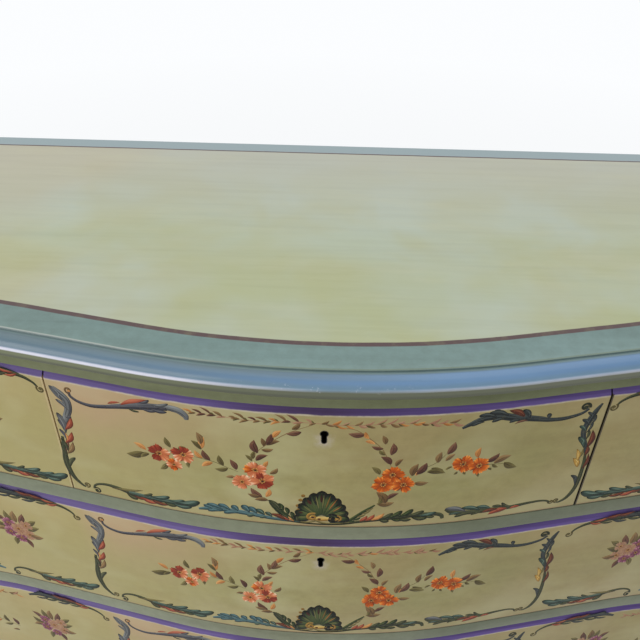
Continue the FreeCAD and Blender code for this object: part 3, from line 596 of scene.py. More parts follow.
def top_nose(shader, colour, front, across):
    """The rounded nose: grey, with a painted blue reflection of the sky towards its front and to the
    right.
    """
    # Painted reflection of the sky: blue on the nose's front, more so to the right, grey at its back
    # and at the left.
    blues = shader.cloud(shader.place, 3, 0.35, 0.7, detail=4, stretch=(1, 8, 8))
    blue = shader.mix(blues, NOSE_REFLECTED_BLUE, NOSE_REFLECTED_PALE)
    bluer = shader.times(
        shader.ramp(front, 0.0115, 0.0040), shader.ramp(across, -0.30, 0.06, 0.12, 1.0)
    )
    far_right = shader.times(shader.ramp(front, 0.0140, 0.0110), shader.ramp(across, -0.10, 0.12))
    blue = shader.mix(shader.maths("MAXIMUM", bluer, far_right), NOSE_GREY, blue)
    nose = shader.times(
        shader.ramp(front, 0.0150, 0.0125), shader.ramp(front, 0.0003, 0.0030, 0.6, 1.0), 0.92
    )
    return shader.mix(nose, colour, blue)


def top_rim(shader, colour, level, waver, across, left):
    """The olive lower edge, painted shade at its foot, and a painted highlight along its upper arris,
    brightest at the left.
    """
    place = shader.place
    low = shader.ramp(shader.maths("ADD", level, shader.times(waver, 1.5)), 0.0168, 0.0138)
    edge_olive = shader.mix(shader.ramp(across, -0.24, -0.02), OLIVE, EDGE_OLIVE)
    # Painted shade at the foot of the edge, where it meets the rail below.
    edge_olive = shader.mix(shader.ramp(level, 0.0102, 0.0080, 0, 0.85), edge_olive, EDGE_FOOT_SHADE)
    colour = shader.mix(low, colour, edge_olive)
    # Where the painted highlight along the rim is bright: most at the left, a little at the right, in
    # patches.
    right = shader.ramp(across, 0.02, 0.16)
    shining = shader.maths(
        "MAXIMUM", shader.ramp(across, 0.0, -0.15, 0.04, 0.95), shader.ramp(right, 0, 1, 0.04, 0.42)
    )
    shining = shader.times(
        shining, shader.cloud(place, 9, 0.35, 0.55, 0.8, 1.0, detail=6, rough=0.75)
    )
    # Painted shade on the nose above the rim, at the left.
    dimmed = shader.times(shader.zone(level, *DIM_ZONE), shader.ramp(left, 0, 1, 0, 0.6))
    colour = shader.mix(dimmed, colour, RIM_SHADE)
    # A painted highlight along the rim, with a softer painted glow above it, brightest at the left.
    glow = shader.times(shader.zone(level, *GLOW_ZONE), shining, 0.40)
    colour = shader.mix(glow, colour, RIM_HIGHLIGHT_GLOW)
    colour = shader.mix(shader.times(shader.zone(level, *RIM_ZONE), shining), colour, RIM_HIGHLIGHT_AND_CHIPS)
    chips = shader.times(
        shader.cloud(place, 330, 0.58, 0.64, 0, 0.6, detail=4, rough=0.7),
        shader.cloud(place, 60, 0.50, 0.60, detail=3, rough=0.6),
        shader.zone(level, *CHIP_ZONE),
        shader.ramp(shader.maths("ABSOLUTE", across), 0.11, 0.01),
    )
    return shader.mix(chips, colour, RIM_HIGHLIGHT_AND_CHIPS)


def top_paint():
    """The top: pale glazed field, plum pinstripe, sage border and moulded edge, with painted
    reflections, highlights and shade.
    """
    shader = Shader("top_paint", 0.4, coat=0.35, coat_roughness=0.14)
    place = shader.place
    across, depth, height = shader.axes(place)
    front, side, back = shader.axes(shader.read("borders"))
    waver = shader.waver(0.0012, place, 26, 3)
    front = shader.maths("ADD", shader.maths("MINIMUM", front, side), waver)
    back = shader.maths("ADD", back, waver)
    level = shader.maths("SUBTRACT", height, UNDER_LEVEL)
    left = shader.ramp(across, -0.04, -0.20)
    colour = top_borders(shader, front, back, top_field(shader, front, across, depth))
    colour = top_nose(shader, colour, front, across)
    colour = top_rim(shader, colour, level, waver, across, left)
    # The bead: olive to the right, a painted highlight to the left.
    bead = shader.times(shader.zone(front, *BEAD_ZONE), shader.ramp(left, 0, 1, 0.55, 0.8))
    colour = shader.mix(bead, colour, shader.mix(left, BEAD_OLIVE, BEAD_HIGHLIGHT))
    # Painted shade in the quirk beside the bead.
    colour = shader.mix(shader.times(shader.zone(front, *QUIRK_SHADE_ZONE), 0.62), colour, QUIRK_SHADE)
    cells = shader.node("ShaderNodeTexVoronoi", place)
    cells.inputs["Scale"].default_value = 14
    specks = shader.ramp(cells.outputs["Distance"], 0.022, 0.012)
    spotty = shader.cloud(place, 9, 0.5, 0.62, detail=2)
    colour = shader.mix(shader.times(specks, spotty), colour, SPECK)
    return shader.finish(colour, paint_surface(shader, place))


def plain_paint(name, base, warm, cool, left=None):
    """Rails, fascia, legs: one glazed colour, with another at the left if one is given."""
    shader = Shader(name, 0.42, coat=0.05, coat_roughness=0.18, specular=0.22)
    place = shader.place
    if left is not None:
        base = shader.mix(shader.ramp(shader.axes(place)[0], 0.16, 0.0), base, left)
    colour = glaze(shader, place, base, warm, cool, 2.0)
    return shader.finish(colour, paint_surface(shader, place))


def face_paint(shader, place, run, drop):
    """The ochre glazed face: painted light at the left and painted shade at the right, blushed under
    the bevel, cleared in patches.
    """
    face = glaze(shader, place, CREAM, CREAM_PINK, CREAM_GREEN, 1.0)
    # Painted light: the face grows lighter and yellower towards the left.
    face = shader.mix(shader.ramp(run, -0.04, -0.36, 0, 0.50), face, FACE_LEFT_LIGHT)
    high = shader.times(shader.ramp(drop, 0.10, 0.02, 0, 0.5), shader.noise(place, 5, 3))
    face = shader.mix(high, face, CREAM_PINK)
    blush = shader.times(
        shader.ramp(drop, 0.15, 0.02, 0, 0.9), shader.ramp(run, -0.315, -0.285),
        shader.ramp(run, -0.06, -0.24), shader.cloud(place, 9, 0.3, 0.6, 0.5, 1, detail=3),
    )
    face = shader.mix(blush, face, FACE_BLUSH)
    shade = shader.cloud(place, 2.4, 0.4, 0.65, 0, 0.35, detail=2, rough=0.4)
    face = shader.mix(shade, face, FACE_SHADE)
    cleared = shader.cloud(
        place, 7.5, 0.48, 0.66, 0, 0.45, detail=3, rough=0.5, stretch=(1, 1.6, 1), shift=(2, 9, 0)
    )
    face = shader.mix(cleared, face, FACE_CLEARED)
    # Painted shade: the face grows darker towards the right.
    return shader.mix(shader.ramp(run, -0.03, 0.12, 0, 0.20), face, FACE_RIGHT_SHADE)


def bevel_paint(shader, place, run, drop, level, face):
    """The purple bevel, in patchy painted shade towards the middle, with a painted highlight along the
    arris under it and painted shade at its top edge.
    """
    streaked = shader.cloud(place, 1.0, 0.35, 0.7, detail=4, stretch=(6, 260, 260))
    purple = shader.mix(streaked, PURPLE, PURPLE_LIGHT)
    # Painted shade: the bevel darkens in patches towards the middle of the dresser.
    patchy = shader.times(
        shader.ramp(shader.maths("ABSOLUTE", run), 0.13, 0.0, 0, 0.9),
        shader.cloud(place, 7, 0.35, 0.6, 0.6, 1, detail=3),
    )
    purple = shader.mix(patchy, purple, PURPLE_IN_SHADE)
    colour = shader.mix(shader.ramp(level, BEVEL + 0.0012, BEVEL + 0.0002), face, purple)
    # A painted highlight along the arris under the bevel.
    arris_highlight = shader.times(
        shader.zone(level, BEVEL - 0.0004, BEVEL + 0.0006, BEVEL + 0.0012, BEVEL + 0.0028),
        shader.cloud(place, 30, 0.35, 0.6, 0.15, 0.75, detail=5, rough=0.7),
    )
    colour = shader.mix(arris_highlight, colour, ARRIS_HIGHLIGHT)
    # Painted shade at the top edge of the front, in the gap under the rail above.
    return shader.mix(shader.ramp(drop, 0.0014, 0.0005, 0, 0.6), colour, TOP_GAP_SHADE)


def keyhole_marks(shader, place, aside, above, colour):
    """The worn ring round the keyhole; also how far outside its edge each point lies."""
    foot = KEY_LENGTH - KEY_HEAD_RADIUS - KEY_SLOT / 2
    below = shader.times(shader.maths("ADD", above, foot), -1)
    from_slot = shader.maths("MAXIMUM", shader.maths("MAXIMUM", above, below), 0)
    squared = shader.maths("POWER", shader.maths("ABSOLUTE", aside), 2)

    def outside(rise, radius):
        far = shader.maths("SQRT", shader.maths("ADD", squared, shader.times(rise, rise)))
        return shader.maths("SUBTRACT", far, radius)

    key = shader.maths("MINIMUM", outside(above, KEY_HEAD_RADIUS), outside(from_slot, KEY_SLOT / 2))
    key = shader.maths("ADD", key, shader.waver(0.0012, place, 260, 3))
    ring = shader.times(
        shader.ramp(key, 0.0100, 0.0020), shader.ramp(above, 0.001, -0.006),
        shader.cloud(place, 90, 0.34, 0.6, 0, 0.75, detail=5, rough=0.7),
    )
    return key, shader.mix(ring, colour, KEY_RING)


def front_paint():
    """Drawer fronts: a purple bevel, a painted highlight on its arris and an ochre glazed face, with
    painted light and shade in the gaps and painted shade along the bottom and round the keyhole.
    """
    shader = Shader("front_paint", 0.42, coat=0.05, coat_roughness=0.2, specular=0.22)
    run, drop, depth = shader.axes(shader.read("on_front"))
    place = shader.node("ShaderNodeCombineXYZ", run, drop, depth).outputs[0]
    level = shader.maths("ADD", drop, shader.waver(0.0022, place, 40, 4))
    face = face_paint(shader, place, run, drop)
    colour = bevel_paint(shader, place, run, drop, level, face)
    aside, above, bottom = shader.axes(shader.read("edges"))
    key, colour = keyhole_marks(shader, place, aside, above, colour)
    # Painted shade along the bottom edge of the front.
    colour = shader.mix(shader.ramp(bottom, 0.0030, 0.0010, 0, 0.75), colour, BOTTOM_EDGE_SHADE)
    # Painted shade in the gaps at the ends of the fronts on the right half, and painted light, a pale
    # colour, in those on the left half; only below the bevel.
    on_right = shader.ramp(run, -0.01, 0.01)
    to_end = shader.axes(shader.read("ends"))[0]
    to_end = shader.maths("ADD", to_end, shader.ramp(run, -0.01, 0.01, 0, 0.0005))
    end = shader.times(
        shader.ramp(to_end, 0.0012, 0.0006), shader.ramp(level, BEVEL - 0.001, BEVEL),
        shader.maths("MAXIMUM", on_right, shader.ramp(depth, 0.0004, 0.0016, 0.3, 1)),
    )
    colour = shader.mix(end, colour, shader.mix(on_right, END_GAP_LIGHT, END_GAP_SHADE))
    raw = shader.mix(shader.noise(place, 1, 4, stretch=(8, 200, 200)), RAW_PALE, STAIN)
    colour = shader.mix(shader.ramp(depth, 0.0130, 0.0142), colour, raw)
    # Painted shade in and round the keyhole.
    colour = shader.mix(shader.ramp(key, 0.0013, 0.0005), colour, KEYHOLE_SHADE)
    return shader.finish(colour, paint_surface(shader, place))


GRAIN_ALONG = 1.6
GRAIN_ACROSS = 34.0


def wood(name, axis, light, dark, turns=46.0):
    """Bare timber with its grain along one axis."""
    shader = Shader(name, 0.62)
    scale = [GRAIN_ACROSS] * 3
    fibres = [GRAIN_ACROSS * 24] * 3
    scale[axis], fibres[axis] = GRAIN_ALONG, GRAIN_ALONG * 6
    warp = shader.noise(shader.place, 0.6, 3, 0.5, stretch=scale)
    rings = shader.maths("SINE", shader.times(warp, turns))
    fibre = shader.noise(shader.place, 1.0, 4, stretch=fibres)
    colour = shader.mix(shader.ramp(rings, -1, 1), light, dark)
    colour = shader.mix(shader.ramp(fibre, 0.3, 0.75, 0, 0.45), colour, dark, "MULTIPLY")
    stain = shader.cloud(shader.place, 4, 0.45, 0.75, 0, 0.3, detail=4)
    colour = shader.mix(stain, colour, STAIN)
    shader.bump(fibre, 0.00015, 0.5)
    return shader.finish(colour, shader.ramp(fibre, 0.2, 0.8, 0.5, 0.75))


def metal(name, base, dull):
    """Worn metal with fine file marks."""
    shader = Shader(name, 0.35, metallic=1.0)
    wear = shader.noise(shader.place, 240, 5, 0.65)
    colour = shader.mix(shader.ramp(wear, 0.4, 0.7), base, dull)
    shader.bump(shader.noise(shader.place, 1.0, 2, stretch=(4000, 300, 300)), 0.00003, 0.4)
    return shader.finish(colour, shader.ramp(wear, 0.3, 0.7, 0.28, 0.55))


TOP_PAINT = top_paint()
FRONT_PAINT = front_paint()
FASCIA_PAINT = plain_paint("fascia_paint", OLIVE, OLIVE_WARM, OLIVE_COOL)
RAIL_PAINT = plain_paint("rail_paint", RAIL, RAIL_WARM, RAIL_COOL, RAIL_LEFT)
CASE_PAINT = plain_paint("case_paint", CREAM, CREAM_PINK, CREAM_GREEN)
WOODS = [wood(f"raw_wood_{axis}", index, WOOD_PALE, WOOD_DARK) for index, axis in enumerate("xyz")]
BACK_WOOD = wood("back_wood", 0, BACK_PALE, BACK_DARK, 22.0)
LOCK_STEEL = metal("lock_steel", STEEL, STEEL_DULL)
LOCK_BRASS = metal("lock_brass", BRASS, BRASS_DULL)


# The top board

NOSE_STEPS = 12
CANT_STEPS = 5
SIDE_STEPS = 44
TOP_COLUMNS = int(2 * HALF_WIDTH / COLUMN_STEP)


def top_section():
    """Half section of the top's edge from the underside to the bead, as inset and level."""
    upper = TOP_THICKNESS - QUIRK_DEPTH
    turns = [math.pi / 2 * step / NOSE_STEPS for step in range(NOSE_STEPS + 1)]
    return [
        (UNDER_BEVEL + 0.0006, 0.0), (UNDER_BEVEL, 0.0001),
        (0.0008, UNDER_BEVEL - 0.0008), (0.0001, UNDER_BEVEL),
        *(
            (NOSE_RADIUS * (1 - math.cos(turn)), upper - NOSE_RADIUS * (1 - math.sin(turn)))
            for turn in turns
        ),
        (BEAD_INSET - 0.0008, upper + 0.00002), (BEAD_INSET - 0.0001, upper + 0.0001),
        (BEAD_INSET, TOP_THICKNESS - 0.0006), (BEAD_INSET + 0.0002, TOP_THICKNESS - 0.0001),
        (BEAD_INSET + 0.0007, TOP_THICKNESS),
    ]


def cant_x(inset):
    """Where the canted corner meets the serpentine line, for one inset."""
    start = HALF_WIDTH - CORNER_CANT
    shift = inset * math.sqrt(2)
    x = start - shift
    for _ in range(20):
        x = start - shift + float(front_y(x, inset)) - float(front_y(start, 0))
    return x


def top_ring(inset, level):
    """The top's plan at one inset, from the back left corner round the front."""
    half = HALF_WIDTH - inset
    end_x = cant_x(inset)
    end_y = float(front_y(end_x, inset))
    reach = half - end_x
    corner_y = end_y + reach
    front = [(x, float(front_y(x, inset))) for x in np.linspace(-end_x, end_x, TOP_COLUMNS + 1)]
    cant_shares = [k / CANT_STEPS for k in range(1, CANT_STEPS + 1)]
    side_shares = [k / SIDE_STEPS for k in range(1, SIDE_STEPS + 1)]
    right = [(end_x + reach * share, end_y + reach * share) for share in cant_shares]
    right += [(half, corner_y + (REAR_Y - corner_y) * share) for share in side_shares]
    left = [(-x, y) for x, y in reversed(right)]
    return [(x, y, UNDER_LEVEL + level) for x, y in left + front + right]


def fill_plan(points, faces, first, width):
    """Fills the top's plan, between its front line and its sides, back to its rear edge."""
    lines = [[first + k for k in range(width)]]
    for step in range(1, SIDE_STEPS + 1):
        share = step / SIDE_STEPS
        line = [first - step]
        for k in range(1, width - 1):
            x, y, z = points[first + k]
            points.append((x, y + (REAR_Y - y) * share, z))
            line.append(len(points) - 1)
        line.append(first + width - 1 + step)
        lines.append(line)
    for near, far in zip(lines, lines[1:]):
        faces += [(near[k], near[k + 1], far[k + 1], far[k]) for k in range(width - 1)]
    return lines[-1]


def make_top():
    """The top with its moulded edge; the paint reads how far each point is from an edge."""
    rings = [top_ring(inset, level) for inset, level in top_section()]
    count = len(rings[0])
    last = len(rings) - 1
    points = [point for ring in rings for point in ring]
    faces = []
    for row in range(last):
        for start in range(row * count, (row + 1) * count - 1):
            faces.append((start, start + 1, start + count + 1, start + count))
    back_lines = [[row * count, (row + 1) * count - 1] for row in range(last + 1)]
    for row in (0, last):
        back_lines[row] = fill_plan(points, faces, row * count + SIDE_STEPS, count - 2 * SIDE_STEPS)
    for near, far in zip(back_lines, back_lines[1:]):
        faces.append((*near, *reversed(far)))
    mesh = mesh_from("top_board", points, faces)
    smooth(mesh, angle=40)
    x, y, _ = vertex_array(mesh).T
    start = HALF_WIDTH - CORNER_CANT
    cant = (start - float(front_y(start, 0)) - np.abs(x) + y) / math.sqrt(2)
    side = np.minimum(HALF_WIDTH - np.abs(x), cant)
    set_vectors(mesh, "borders", np.stack([front_distance(x, y), side, REAR_Y - y], 1))
    new_piece("top_board", mesh, "case", TOP_PAINT, ["top"])


# Rails, posts, legs and apron

FASCIA_DEPTH = 0.034
RAIL_DEPTH = 0.062


def block_section(low_inset, high_inset, low, high):
    """A bar's section: a rectangle of insets and levels."""
    return [(low_inset, low), (low_inset, high), (high_inset, high), (high_inset, low)]


def softened(low_inset, high_inset, low, high, radius=0.0008):
    """A bar's section with rounded corners."""
    return round_corners(block_section(low_inset, high_inset, low, high), radius)


# Which drawers lock into the underside of a rail, and the sockets' depth and slack.
RAIL_SOCKETS = {
    "top_rail": ("left_drawer", "centre_drawer", "right_drawer"),
    "upper_rail": ("middle_drawer",), "lower_rail": ("bottom_drawer",),
}
SOCKET_DEPTH = 0.0092
SOCKET_SLACK = 0.0012


def bolt_socket(drawer, rail_low):
    """What a drawer's bolt needs to be free of in the rail above it."""
    low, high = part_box(f"{drawer}_lock_bolt")
    return box_mesh(
        "socket", (low.x - SOCKET_SLACK, low.y - SOCKET_SLACK, rail_low - 0.002),
        (high.x + SOCKET_SLACK, high.y + SOCKET_SLACK, rail_low + SOCKET_DEPTH),
    )


def make_rails():
    """The painted rails, with sockets for the bolts that rise into them."""
    for name, drawers in RAIL_SOCKETS.items():
        at_top = name == "top_rail"
        inset, depth = (FASCIA_INSET, FASCIA_DEPTH) if at_top else (FACE_INSET, RAIL_DEPTH)
        low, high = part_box(name)
        section = softened(inset, inset + depth, low.z, high.z)
        mesh = bar(f"{name}_painted", section, low.x, high.x)
        smooth(mesh)
        paint = FASCIA_PAINT if at_top else RAIL_PAINT
        piece = new_piece(f"{name}_painted", mesh, "case", paint, [name])
        cut(piece, [bolt_socket(drawer, low.z) for drawer in drawers])


APRON_THICKNESS = 0.022
APRON_RISE = 0.030
APRON_ARCH_RADIUS = 1.150
APRON_DROP_WIDTH = 0.150
APRON_ARRIS = 0.0015


def arch_rise(x):
    """How far the apron's lower edge stands above the knees at a place x."""
    radius, rise = APRON_ARCH_RADIUS, APRON_RISE
    half_span = math.sqrt(radius**2 - (radius - rise) ** 2)
    offset = abs(x) - APRON_DROP_WIDTH / 2 - half_span
    if abs(offset) >= half_span:
        return 0.0
    return math.sqrt(radius**2 - offset**2) - (radius - rise)


def make_apron():
    """The apron under the bottom rail, cut to its two arches."""
    low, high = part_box("apron")
    rings = []
    for x in np.linspace(low.x, high.x, int((high.x - low.x) / COLUMN_STEP) + 1):
        foot = low.z + arch_rise(x)
        back = FACE_INSET + APRON_THICKNESS
        rings.append(ring_at(x, softened(FACE_INSET, back, foot, high.z, APRON_ARRIS)))
    mesh = loft("apron_painted", rings)
    smooth(mesh)
    new_piece("apron_painted", mesh, "case", CASE_PAINT, ["apron"])


POST_ARRIS = 0.0015
STILE_ARRIS = 0.0012
# How the ends of an upright are rounded: shares of a small size inwards, and levels.
END_ROUNDING = 0.0015
END_STEPS = ((1, 0.0), (0.4, 0.0006), (0, 0.0015))
# Sections of the legs from the knee to the floor, as shares: height of the knee, and, of
# half the post's width, the outward shift and the radii along and across it.
FRONT_LEG_SHARES = [
    (1.00, 0.04, 1.10, 1.04), (0.86, 0.32, 1.28, 1.14), (0.68, 0.36, 1.20, 1.06),
    (0.48, 0.14, 0.90, 0.84), (0.28, 0.00, 0.66, 0.62), (0.12, 0.30, 0.74, 0.62),
    (0.00, 0.56, 0.78, 0.60),
]
REAR_LEG_SHARES = [
    (1.00, 0.00, 0.92, 0.92), (0.70, 0.00, 0.86, 0.86), (0.35, 0.04, 0.66, 0.66),
    (0.12, 0.14, 0.62, 0.62), (0.00, 0.18, 0.66, 0.66),
]


def curve_through(rows, steps):
    """Rows on a smooth curve through the given ones."""
    rows = np.asarray(rows, float)
    padded = np.concatenate([rows[:1], rows, rows[-1:]])
    result = []
    for index in range(len(rows) - 1):
        p, q, r, s = padded[index:index + 4]
        second, third = 2 * p - 5 * q + 4 * r - s, 3 * (q - r) + s - p
        for step in range(steps):
            t = step / steps
            result.append(q + t * (r - p + t * (second + t * third)) / 2)
    result.append(rows[-1])
    return np.array(result)


def cabriole(axis, outward, unit, shares):
    """A bent leg round an upright axis, which it leaves in the outward direction."""
    direction = Vector(outward).normalized()
    across = Vector((-direction.y, direction.x))
    rings = []
    for height, out, long_share, cross_share in curve_through(shares, 7):
        ring = []
        for turn in np.linspace(0, 2 * math.pi, 40, endpoint=False):
            along = unit * (out + long_share * math.cos(turn))
            aside = unit * cross_share * math.sin(turn)
            ring.append((
                axis[0] + direction.x * along + across.x * aside,
                axis[1] + direction.y * along + across.y * aside,
                KNEE_LEVEL * height,
            ))
        rings.append(ring)
    return loft("foot", rings)


def prism(outline, side, low, high, radius):
    """An upright with rounded arrises, mirrored for the left side."""
    plan = round_corners([(x * side, y) for x, y in outline], radius, 4)
    inward = plan.mean(0) - plan
    inward /= np.linalg.norm(inward, axis=1)[:, None]
    ends = [(plan + inward * END_ROUNDING * share, level) for share, level in END_STEPS]
    levels = [(ring, low + level) for ring, level in ends]
    levels += [(ring, high - level) for ring, level in reversed(ends)]
    return loft("upright", [[(x, y, level) for x, y in ring] for ring, level in levels])


def leg_piece(name, meshes):
    """One painted piece of a leg and the post or stile that it carries."""
    mesh = join_meshes(f"{name}_painted", meshes)
    smooth(mesh, angle=40)
    new_piece(f"{name}_painted", mesh, "case", CASE_PAINT, [name])


def make_legs():
    """The front posts and rear stiles, each running down into its leg."""
    back_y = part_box("side_panel_right")[0].y
    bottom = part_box("case_bottom")[0].z
    front_x = SIDE_X - CORNER_CANT
    axis_x = (POST_X + SIDE_X) / 2
    axis_y = (float(front_y(axis_x, FACE_INSET)) + back_y) / 2
    post_plan = [(x, float(front_y(x, FACE_INSET))) for x in (POST_X, front_x)]
    post_plan += [
        (SIDE_X, float(front_y(SIDE_X, FACE_INSET)) + CORNER_CANT), (SIDE_X, back_y), (POST_X, back_y),
    ]
    for side, name in ((-1, "left"), (1, "right")):
        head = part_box(f"front_leg_{name}")[1].z
        half = (SIDE_X - POST_X) / 2
        leg_piece(f"front_leg_{name}", [
            prism(post_plan, side, KNEE_LEVEL, head, POST_ARRIS),
            cabriole((axis_x * side, axis_y), (side, -1), half, FRONT_LEG_SHARES),
        ])
        low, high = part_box(f"rear_leg_{name}")
        panel_x = abs(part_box(f"side_panel_{name}")[0 if side > 0 else 1].x)
        unit = (high.y - low.y) / 2
        inner = SIDE_X - 2 * unit
        leg_piece(f"rear_leg_{name}", [
            prism(rectangle(panel_x, SIDE_X, low.y, high.y), side, bottom, high.z, STILE_ARRIS),
            prism(rectangle(inner, SIDE_X, low.y, high.y), side, KNEE_LEVEL, bottom, STILE_ARRIS),
            cabriole(
                ((SIDE_X - unit) * side, (low.y + high.y) / 2), (side, 0), unit, REAR_LEG_SHARES
            ),
        ])


# Drawers

DRAWERS = ["left_drawer", "centre_drawer", "right_drawer", "middle_drawer", "bottom_drawer"]
KEY_DROP = 0.040
FRONT_THICKNESS = 0.022
DRAWER_GAP = 0.001
FRONT_ARRIS = 0.0011
SEAT_SLACK = 0.0002
SEAT_OPEN = 0.01
GROOVE_DEPTH = 0.005
GROOVE_OPEN = 0.004
KEYHOLE_BEFORE = 0.05
KEYHOLE_PAST = 0.001


def on_front(run, v, lift, top):
    """A point over the front: its run from the centre, v down from a level, lift off it."""
    x, y, nx, ny = front_at(run)
    lift = np.asarray(lift, float)
    return np.stack([x + nx * lift, y + ny * lift, top - np.asarray(v, float)], -1)


class Face:
    """The painted face of one drawer front, and where its keyhole is."""

    def __init__(self, name):
        self.name = name
        self.low, self.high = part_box(f"{name}_front")
        self.middle_x = (self.low.x + self.high.x) / 2
        self.middle_run = float(run_at(self.middle_x))
        self.width = float(run_at(self.high.x) - run_at(self.low.x))
        self.height = self.high.z - self.low.z
        self.key_level = self.high.z + DRAWER_GAP - KEY_DROP

    def at(self, run, v, lift):
        """Where a point of the paint lies on the face."""
        return on_front(run, v, lift, self.high.z)


FACES = {name: Face(name) for name in DRAWERS}


def keyhole_mesh(face, *depths):
    """A prism of the keyhole's outline between two depths."""
    half = KEY_SLOT / 2
    spread = math.asin(half / KEY_HEAD_RADIUS)
    outline = []
    for turn in np.linspace(-math.pi / 2 + spread, 3 * math.pi / 2 - spread, 25):
        outline.append((KEY_HEAD_RADIUS * math.cos(turn), KEY_HEAD_RADIUS * math.sin(turn)))
    foot = -(KEY_LENGTH - KEY_HEAD_RADIUS - half)
    for turn in np.linspace(math.pi, 2 * math.pi, 13):
        outline.append((half * math.cos(turn), foot + half * math.sin(turn)))
    return loft("keyhole", [
        [(face.middle_x + x, y, face.key_level + z) for x, z in outline] for y in depths
    ])


def make_front(face):
    """A bowed drawer front with a bevelled top edge, keyhole, lock seat and groove."""
    inset, back = FACE_INSET, FACE_INSET + FRONT_THICKNESS
    low, high = face.low.z, face.high.z
    section = round_corners(
        [(inset, low), (inset, high - BEVEL), (inset + BEVEL, high), (back, high), (back, low)],
        FRONT_ARRIS, 4,
    )
    mesh = bar(f"{face.name}_front_painted", section, face.low.x, face.high.x)
    piece = new_piece(
        f"{face.name}_front_painted", mesh, face.name, FRONT_PAINT,
        [f"{face.name}_front"],
    )
    lock_low, lock_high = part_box(f"{face.name}_lock_case")
    bottom_low, bottom_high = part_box(f"{face.name}_bottom")
    seat_low = [value - SEAT_SLACK for value in lock_low]
    seat_high = (lock_high.x + SEAT_SLACK, lock_high.y + SEAT_OPEN, lock_high.z + SEAT_OPEN)
    groove = block_section(back - GROOVE_DEPTH, back + GROOVE_OPEN, bottom_low.z, bottom_high.z)
    for cutter in (
        keyhole_mesh(face, face.low.y - KEYHOLE_BEFORE, lock_high.y + KEYHOLE_PAST),
        box_mesh("seat", seat_low, seat_high),
        bar("groove", groove, bottom_low.x, bottom_high.x),
    ):
        cut(piece, [cutter])
    mesh = piece.data
    smooth(mesh, angle=28)
    x, y, z = vertex_array(mesh).T
    run = run_at(x)
    to_end = face.width / 2 - np.abs(run - face.middle_run)
    for name, parts in {
        "on_front": (run, high - z, front_distance(x, y) - FACE_INSET),
        "ends": (to_end, to_end, to_end),
        "edges": (x - face.middle_x, z - face.key_level, z - low),
    }.items():
        set_vectors(mesh, name, np.stack(parts, 1))


# Painted ornament: low ribbons of paint, gathered into one mesh for each drawer

# Each paint as dark, middle and light.
PAINTS = {
    "plum": ((58, 32, 28), (102, 66, 52), (154, 118, 90)),
    "brown": ((76, 54, 34), (128, 100, 64), (170, 140, 98)),
    "orange": ((150, 88, 42), (198, 138, 78), (228, 174, 114)),
    "olive": ((62, 52, 28), (106, 96, 56), (148, 138, 90)),
    "green": ((8, 16, 8), (34, 48, 28), (92, 104, 58)),
    "teal": ((10, 20, 16), (50, 70, 62), (122, 144, 130)),
    "sky": ((14, 28, 30), (56, 86, 92), (112, 144, 148)),
    "sea": ((18, 20, 10), (52, 58, 38), (104, 106, 76)),
    "slate": ((38, 38, 42), (88, 90, 94), (142, 146, 146)),
    "steel": ((14, 18, 20), (44, 50, 52), (90, 98, 96)),
    "navy": ((28, 28, 36), (66, 66, 76), (116, 118, 122)),
    "red": ((80, 28, 18), (146, 66, 46), (198, 118, 90)),
    "wine": ((44, 18, 12), (92, 44, 30), (142, 84, 58)),
    "salmon": ((152, 70, 38), (218, 132, 88), (255, 226, 198)),
    "crimson": ((92, 28, 16), (152, 56, 34), (214, 118, 84)),
    "flame": ((104, 36, 8), (204, 94, 24), (250, 170, 84)),
    "yellow": ((104, 74, 30), (186, 146, 72), (230, 206, 136)),
    "rose": ((148, 104, 82), (168, 128, 100), (192, 156, 126)),
    "mauve": ((72, 30, 50), (142, 78, 102), (206, 156, 168)),
    "ink": ((10, 12, 10), (22, 24, 20), (48, 52, 42)),
}
POINTED = ("plum", "brown", "orange", "olive", "red", "wine", "yellow")
# The motifs' sheets: squares to the millimetre, where their left and top edges lie, and the bevel.
SQUARES = 4.5
LEFT_SHEET = -345
RIGHT_SHEET = -10
SHEET_TOP = 4.5
SHEET_BEVEL = 12.5
SHEET_SHRINK = 0.985
SUNK = 0.00004
# How a ribbon stands off its face, in millimetres, and how it swells in the middle.
PAINT_RISE = 0.05
LAYER_RISE = 0.012
CROWN = 1.15
LOBE_LAYERS = 14
LEAST_HALF = 0.5
FULLNESS = 1.22
BODY_GROWTH = 1.05
BODY_LEAST = 4
# Creases along a stem: how far aside, as a share of its width, and their tone.
CREASES = ((0.26, -0.8), (0.0, 0.55), (-0.26, -0.6))
# Across and down a face, where the painted light comes from; a ribbon's rows across its width.
LIT_FROM = np.array([-0.40, -0.92])
SHARES = (-1, -0.6, 0, 0.6, 1)
# How far aside the dabs of a petal go, from its edges to its middle.
DAB_SPREADS = (-1.25, 1.2, -0.6, 0.65, 0.05)
# Where along it a comma stroke is widest.
COMMA_HEEL = 0.64


def arch(t, power):
    """Rises from 0 and falls back to 0 as t goes from 0 to 1."""
    return np.maximum(np.sin(math.pi * np.clip(t, 0, 1)), 0) ** power


def leaf_shape(t):
    """Widths of a leaf: pointed at both ends."""
    return 0.10 * (1 - t) + arch(t**0.9, 0.9)


def petal_shape(t):
    """Widths of a petal: fullest near its rounded end."""
    return 0.25 * (1 - t) + arch(t**1.9, 0.6)


def comma_shape(t):
    """Widths of a comma stroke: a thin start and a round heel."""
    swell = 0.14 + 0.86 * np.sin(math.pi / 2 * np.minimum(t / COMMA_HEEL, 1))
    past = np.clip((t - COMMA_HEEL) / (1 - COMMA_HEEL), 0, 1)
    return swell * (0.78 * np.sqrt(1 - past**2) + 0.22 * (1 - past))


def stem_shape(t):
    """Widths of a stem: nearly even, a little thinner at its ends."""
    return 0.35 + 0.65 * arch(t, 0.4)


def blended(first, second, share):
    """A colour between two others."""
    return tuple(a + (b - a) * share for a, b in zip(first, second))


